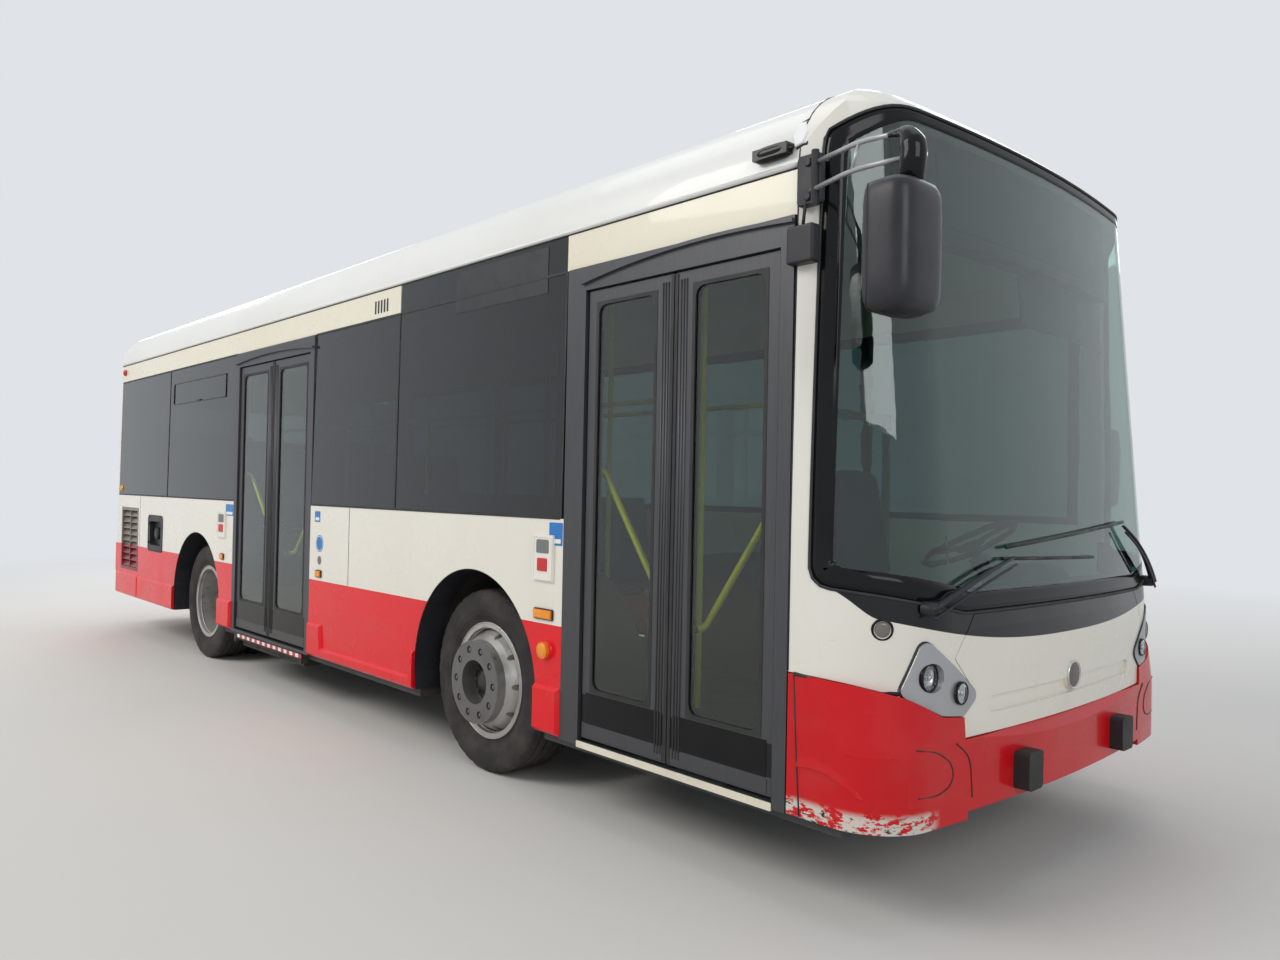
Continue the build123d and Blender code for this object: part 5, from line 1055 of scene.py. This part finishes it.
# Door leaves: gasket round each pane, ribs on the meeting stile, rubber edge and kick plate
LEAVES = [
    ("middle_door_rear", -1.273, -0.651, -1.223, -0.745, 1),
    ("middle_door_front", -0.639, -0.017, -0.545, -0.067, -1),
    ("front_door_rear", 2.896, 3.428, 2.946, 3.334, 1),
    ("front_door_front", 3.44, 3.972, 3.534, 3.922, -1),
]
LEAF_LOW, LEAF_HIGH, PANE_LOW, PANE_HIGH = 0.372, 2.345, 0.575, 2.293
leaf_face = flat(-1, 0.014)
leaf_back = flat(-1, 0.048)
for name, x0, x1, pane0, pane1, direction in LEAVES:
    body = f"{name}_leaf"
    pane = rounded(pane0, pane1, PANE_LOW, PANE_HIGH, 0.006, 3)
    clear = rounded(pane0 + 0.016, pane1 - 0.016, PANE_LOW + 0.016, PANE_HIGH - 0.016, 0.04, 3)
    gasket = Shape().band(pane, clear, leaf_face, -0.0055, 0.0015, 1)
    gasket.band(pane, clear, lambda x, z, reach: leaf_back(x, z, -reach), -0.012, 0.002, 1)
    gasket.make(f"{name}_gasket", black_rubber, body)
    free = x1 if direction > 0 else x0
    ribs = Shape()
    for x in (free - direction * (0.03 + 0.016 * k) for k in range(3)):
        ribs.sweep([leaf_face(x, LEAF_LOW + 0.03, 0.0005), leaf_face(x, LEAF_HIGH - 0.03, 0.0005)], 0.0042, 6)
    ribs.make(f"{name}_ribs", anodised, body, smooth=True)
    edges = sorted((free + direction * 0.0035, free - direction * 0.014))
    rubber = Shape().slab(leaf_face, *edges, LEAF_LOW + 0.004, LEAF_HIGH - 0.004, -0.03, 0.004)
    bevelled(rubber.make(f"{name}_edge_rubber", black_rubber, body), 0.0015)
    kick = Shape().slab(leaf_face, x0 + 0.012, x1 - 0.02, LEAF_LOW + 0.006, 0.432, -0.001, 0.0022)
    bevelled(kick.make(f"{name}_kick_plate", anodised, body), 0.001)
    Shape().slab(leaf_face, x0 + 0.024, x1 - 0.024, 0.438, 0.572, -0.001, 0.0012).make(
        f"{name}_lower_panel", black_trim, body)

# Sill strip of the front door and the taped edge of the ramp
TAPE_START, TAPE_END, TAPE_FIELDS = -1.188, -0.031, 24
sill = rounded(2.88, 3.985, 0.328, 0.357, 0.005)
plate("front_sill_strip", sill, right_face, -0.002, 0.004, cream_paint, 0.001)
for name, finish, first in (("ramp_tape_red", label_red, 1), ("ramp_tape_white", label_white, 0)):
    tape = Shape()
    for k in range(first, TAPE_FIELDS, 2):
        x0, x1 = (TAPE_START + (TAPE_END - TAPE_START) * n / TAPE_FIELDS for n in (k, k + 1))
        tape.slab(flat(-1, -0.003), x0, x1, 0.303, 0.327, -0.001, 0.0012)
    tape.make(name, finish)

# Tyres with circumferential grooves, shoulder lugs and stepped walls; wheel nuts and hub caps
TREAD = [(0.286, -0.1), (0.296, -0.106), (0.318, -0.115), (0.33, -0.124), (0.3335, -0.1245),
         (0.336, -0.1275), (0.362, -0.1365), (0.385, -0.138), (0.388, -0.1368), (0.392, -0.138),
         (0.418, -0.137), (0.438, -0.133), (0.455, -0.127), (0.4645, -0.118), (0.4675, -0.109)]
BEAD_SEAT = [(0.284, 0.099), (0.284, -0.099), (0.286, -0.1)]
GROOVES = (-0.078, -0.027, 0.027, 0.078)
GROOVE_SECTION = ((0.4692, -0.0062), (0.461, -0.004), (0.461, 0.004), (0.4692, 0.0062))


def tyre_profile():
    grooves = [(r, groove + d) for groove in GROOVES for r, d in GROOVE_SECTION]
    return TREAD + grooves + [(r, -d) for r, d in reversed(TREAD)] + BEAD_SEAT


def lugs(r, d, j):
    return r - 0.0045 if abs(d) > 0.105 and r > 0.45 and j % 4 == 0 else r


def round_axle(axle_x, radius, degrees, y):
    """Point at that angle from straight up, round an axle."""
    angle = math.radians(degrees)
    return Vector((axle_x + radius * math.sin(angle), y, WHEEL_Z + radius * math.cos(angle)))


def nut_ring(shape, axle_x, side, y, height):
    for number in range(STUD_COUNT):
        degrees = 360 / STUD_COUNT * (number + (0.5 if side < 0 else 0.0))
        at = round_axle(axle_x, STUD_CIRCLE / 2, degrees, side * y)
        shape.lathe([(0.0, 0.0), (0.0172, 0.0), (0.0172, height * 0.86), (0.0145, height), (0.0, height)], at,
                    (0, side, 0), 6)
        shape.lathe([(0.0185, 0.0), (0.0208, 0.0), (0.0208, 0.004), (0.017, 0.005)], at, (0, side, 0), 18)
        shape.lathe([(0.0, height + 0.007), (0.0085, height + 0.006), (0.01, height - 0.002)], at,
                    (0, side, 0), 12)


FRONT_CAP = [(0.0, 0.03), (0.03, 0.029), (0.052, 0.022), (0.06, 0.006), (0.06, -0.002)]
REAR_CAP = [(0.0, 0.012), (0.04, 0.011), (0.05, 0.004), (0.052, -0.002)]
# End, axle, tyre centres, nuts (face, height), hub cap (profile, face), hub bolts (circle, count, size, face)
WHEELS = [
    ("front", FRONT_AXLE_X, (0.999,), (1.16, 0.03), (FRONT_CAP, 1.124), (0.08, 8, 0.008, 1.124)),
    ("rear", REAR_AXLE_X, (0.999, 0.689), (0.856, 0.026), (REAR_CAP, 1.05), (0.083, 12, 0.007, 1.005)),
]
RIM_EDGES = ((0.2965, 1.112), (0.268, 1.085))
LINER_SECTION = ((0.5595, 1.2238), (0.5595, 1.06), (0.557, 1.06), (0.557, 1.2238))
for end, axle_x, centres, (nut_y, nut_high), (cap, cap_y), (bolt_radius, bolt_count, size, bolt_y) in WHEELS:
    for hand, side in reversed(SIDES):
        body = f"wheel_{end}_{hand}"
        out = (0, side, 0)
        rubber = Shape()
        for centre_y in centres:
            rubber.lathe(tyre_profile(), (axle_x, side * centre_y, WHEEL_Z), out, 144, lugs)
        made = rubber.make(f"tread_{end}_{hand}", tyre_rubber, body)
        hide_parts(f"tyre_{end}_{hand}")
        nuts = Shape()
        nut_ring(nuts, axle_x, side, nut_y, nut_high)
        nuts.lathe(cap, (axle_x, side * cap_y, WHEEL_Z), out, 36)
        nuts.make(f"wheel_nuts_{end}_{hand}", wheel_steel, body)
        caps = Shape()
        for k in range(bolt_count):
            at = round_axle(axle_x, bolt_radius, 360 / bolt_count * k, side * bolt_y)
            caps.lathe([(0.0, 0.014), (size, 0.014), (size, 0.0), (0.0, -0.002)], at, out, 6)
        caps.make(f"hub_bolts_{end}_{hand}", hub_steel, body)
        bead = Shape()
        for radius, y in RIM_EDGES:
            loop = [round_axle(axle_x, radius, 5 * k, side * y) for k in range(72)]
            bead.sweep(loop, 0.0035, 6, closed=True)
        bead.make(f"rim_edge_{end}_{hand}", wheel_steel, body, smooth=True)
        rings = []
        for angle in (math.radians(-15 + 5 * k) for k in range(43)):
            rings.append([Vector((axle_x + r * math.cos(angle), side * y, ARCH_Z + r * math.sin(angle)))
                          for r, y in LINER_SECTION])
        Shape().rings(rings).make(f"arch_liner_{end}_{hand}", black_plastic)

# Filler recess: cap, hinge ears and lip of the open pocket
cap = Shape().lathe([(0.0, 0.034), (0.04, 0.033), (0.052, 0.028), (0.056, 0.018), (0.056, 0.0)],
                    (-3.297, -1.189, 0.988), (0, -1, 0), 28,
                    lambda r, d, j: r * (0.96 if j % 4 == 0 and r > 0.05 else 1))
cap.make("filler_cap", black_plastic)
ears = Shape()
for z in (0.9, 1.076):
    ears.slab(right_face, -3.49, -3.47, z - 0.012, z + 0.012, -0.01, 0.012)
ears.make("filler_hinge_ears", steel_dark)
pocket = rounded(-3.514, -3.08, 0.821, 1.155, 0.045)
rim("filler_frame_lip", pocket, 0.01, right_face, -0.001, 0.005, black_rubber)

# Rear end: window border, lamps, blank plate, handles
REAR_LAMPS = [(1.335, label_red, "tail"), (1.215, orange_lens, "turn"), (1.095, label_red, "stop"),
              (0.975, label_white, "reverse")]
REAR_LAMP_Y = 1.065
LENS_PROFILE = [(0.0, 0.022), (0.03, 0.019), (0.045, 0.012), (0.05, 0.004), (0.05, -0.002)]
RING_PROFILE = [(0.05, 0.0), (0.05, 0.006), (0.055, 0.006), (0.057, 0.0)]
outer, inner = oblong(0, 1.91, 0.885, 0.395, 0.05, 6), oblong(0, 1.91, 0.835, 0.345, 0.07, 6)
border = Shape().band(outer, inner, rear, -0.006, 0.0025)
border.make("rear_window_border", black_rubber)
for hand, side in SIDES:
    base = oblong(side * REAR_LAMP_Y, 1.155, 0.065, 0.255, 0.03)
    plate(f"rear_lamp_plate_{hand}", base, rear, -0.002, 0.01, grey_plastic)
    for z, finish, label in REAR_LAMPS:
        at = (REAR_WALL_X - 0.01, side * REAR_LAMP_Y, z)
        turned(f"rear_{label}_lamp_{hand}", LENS_PROFILE, at, (-1, 0, 0), finish)
        turned(f"rear_{label}_lamp_ring_{hand}", RING_PROFILE, at, (-1, 0, 0), black_plastic)
    latch = oblong(side * 0.62, 1.325, 0.05, 0.02, 0.012)
    plate(f"engine_door_latch_{hand}", latch, rear, -0.001, 0.012, black_plastic, 0.004, "engine_door")
    reflector = oblong(side * 0.7, 0.63, 0.09, 0.012, 0.01)
    plate(f"rear_reflector_{hand}", reflector, rear, -0.002, 0.006, label_red, body="engine_door")
blank, holder = oblong(0, 0.68, 0.26, 0.055, 0.01), oblong(0, 0.68, 0.268, 0.063, 0.012)
plate("rear_plate", blank, rear, -0.001, 0.006, label_white, 0.002, "engine_door")
rim("rear_plate_frame", holder, 0.01, rear, -0.001, 0.009, black_plastic, "engine_door")


# Driver's seat: padded cushion and back with sewn channels, on its pedestal
def padded_form(centre, half, lean, channels, count=56, levels=22, crown=0.38):
    """Closed crowned cushion: across is Y, half holds half sizes along its run, across and thick."""
    run_dir = Vector((math.cos(lean), 0, math.sin(lean)))
    thick_dir = Vector((-math.sin(lean), 0, math.cos(lean)))
    rings = []
    for k in range(levels + 1):
        v = -math.pi / 2 + math.pi * k / levels
        flatness = max(math.cos(v), 0.0) ** crown
        rise = signed_power(math.sin(v), 0.62)
        ring = []
        for c, s in turns(count):
            run = half[0] * flatness * signed_power(c, 0.42)
            across = half[1] * flatness * signed_power(s, 0.42)
            pull = 1 - 0.035 * (1 - abs(run / half[0]) ** 2) * (abs(s) > 0.7)
            thick = half[2] * rise
            for channel in channels:
                thick -= 0.01 * math.copysign(1, v) * math.exp(-((run - channel) / 0.009) ** 2) * (rise > 0)
            ring.append(Vector(centre) + run_dir * run + Vector((0, across * pull, 0)) + thick_dir * thick)
        rings.append(ring)
    return Shape().rings(rings)


SEAT_Y = 0.56
BACK_LEAN = math.radians(100)
PEDESTAL = [(0.17, 0.0), (0.17, 0.02), (0.105, 0.035), (0.09, 0.06), (0.088, 0.3), (0.15, 0.33),
            (0.15, 0.35)]
SEAT_PADS = [
    ("driver_seat_cushion", (3.35, SEAT_Y, 0.905), (0.215, 0.232, 0.052), 0.05, (-0.1, 0.0, 0.1)),
    ("driver_seat_back", (3.115, SEAT_Y, 1.29), (0.315, 0.228, 0.056), BACK_LEAN, (-0.16, 0.0, 0.14)),
]
for name, *form in SEAT_PADS:
    made = padded_form(*form).make(name, seat_cloth, smooth=True)
    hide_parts("driver_seat")
made = turned("driver_seat_pedestal", PEDESTAL, (3.35, SEAT_Y, 0.522), (0, 0, 1), black_plastic)
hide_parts("driver_seat")


# Dashboard: instrument hood, air slots and the ticket tray
def level(z):
    """Place on an upward face at that height: y, x and how far up."""
    return lambda y, x, reach: Vector((x, y, z + reach))


rings = []
for k in range(13):
    y = 0.3 + 0.52 * k / 12
    rise = 0.07 * math.sin(math.pi * k / 12) ** 0.5 if 0 < k < 12 else 0.0
    rings.append([Vector((3.985, y, 1.055)), Vector((4.185, y, 1.075)), Vector((4.16, y, 1.085 + rise)),
                  Vector((4.0, y, 1.07 + rise * 1.15))])
bevelled(Shape().rings(rings).make("instrument_hood", dash_plastic, smooth=True), 0.006)
slots = Shape()
for y in (-0.44 + 0.11 * k for k in range(9)):
    slots.pad(oblong(y, 4.245, 0.045, 0.01, 0.006), level(1.0835), -0.004, 0.003, 0.001)
slots.make("demister_slots", black_plastic)
plate("dash_tray", rounded(-0.46, -0.1, 4.02, 4.16, 0.02), level(1.07), -0.004, 0.012, black_plastic, 0.004)
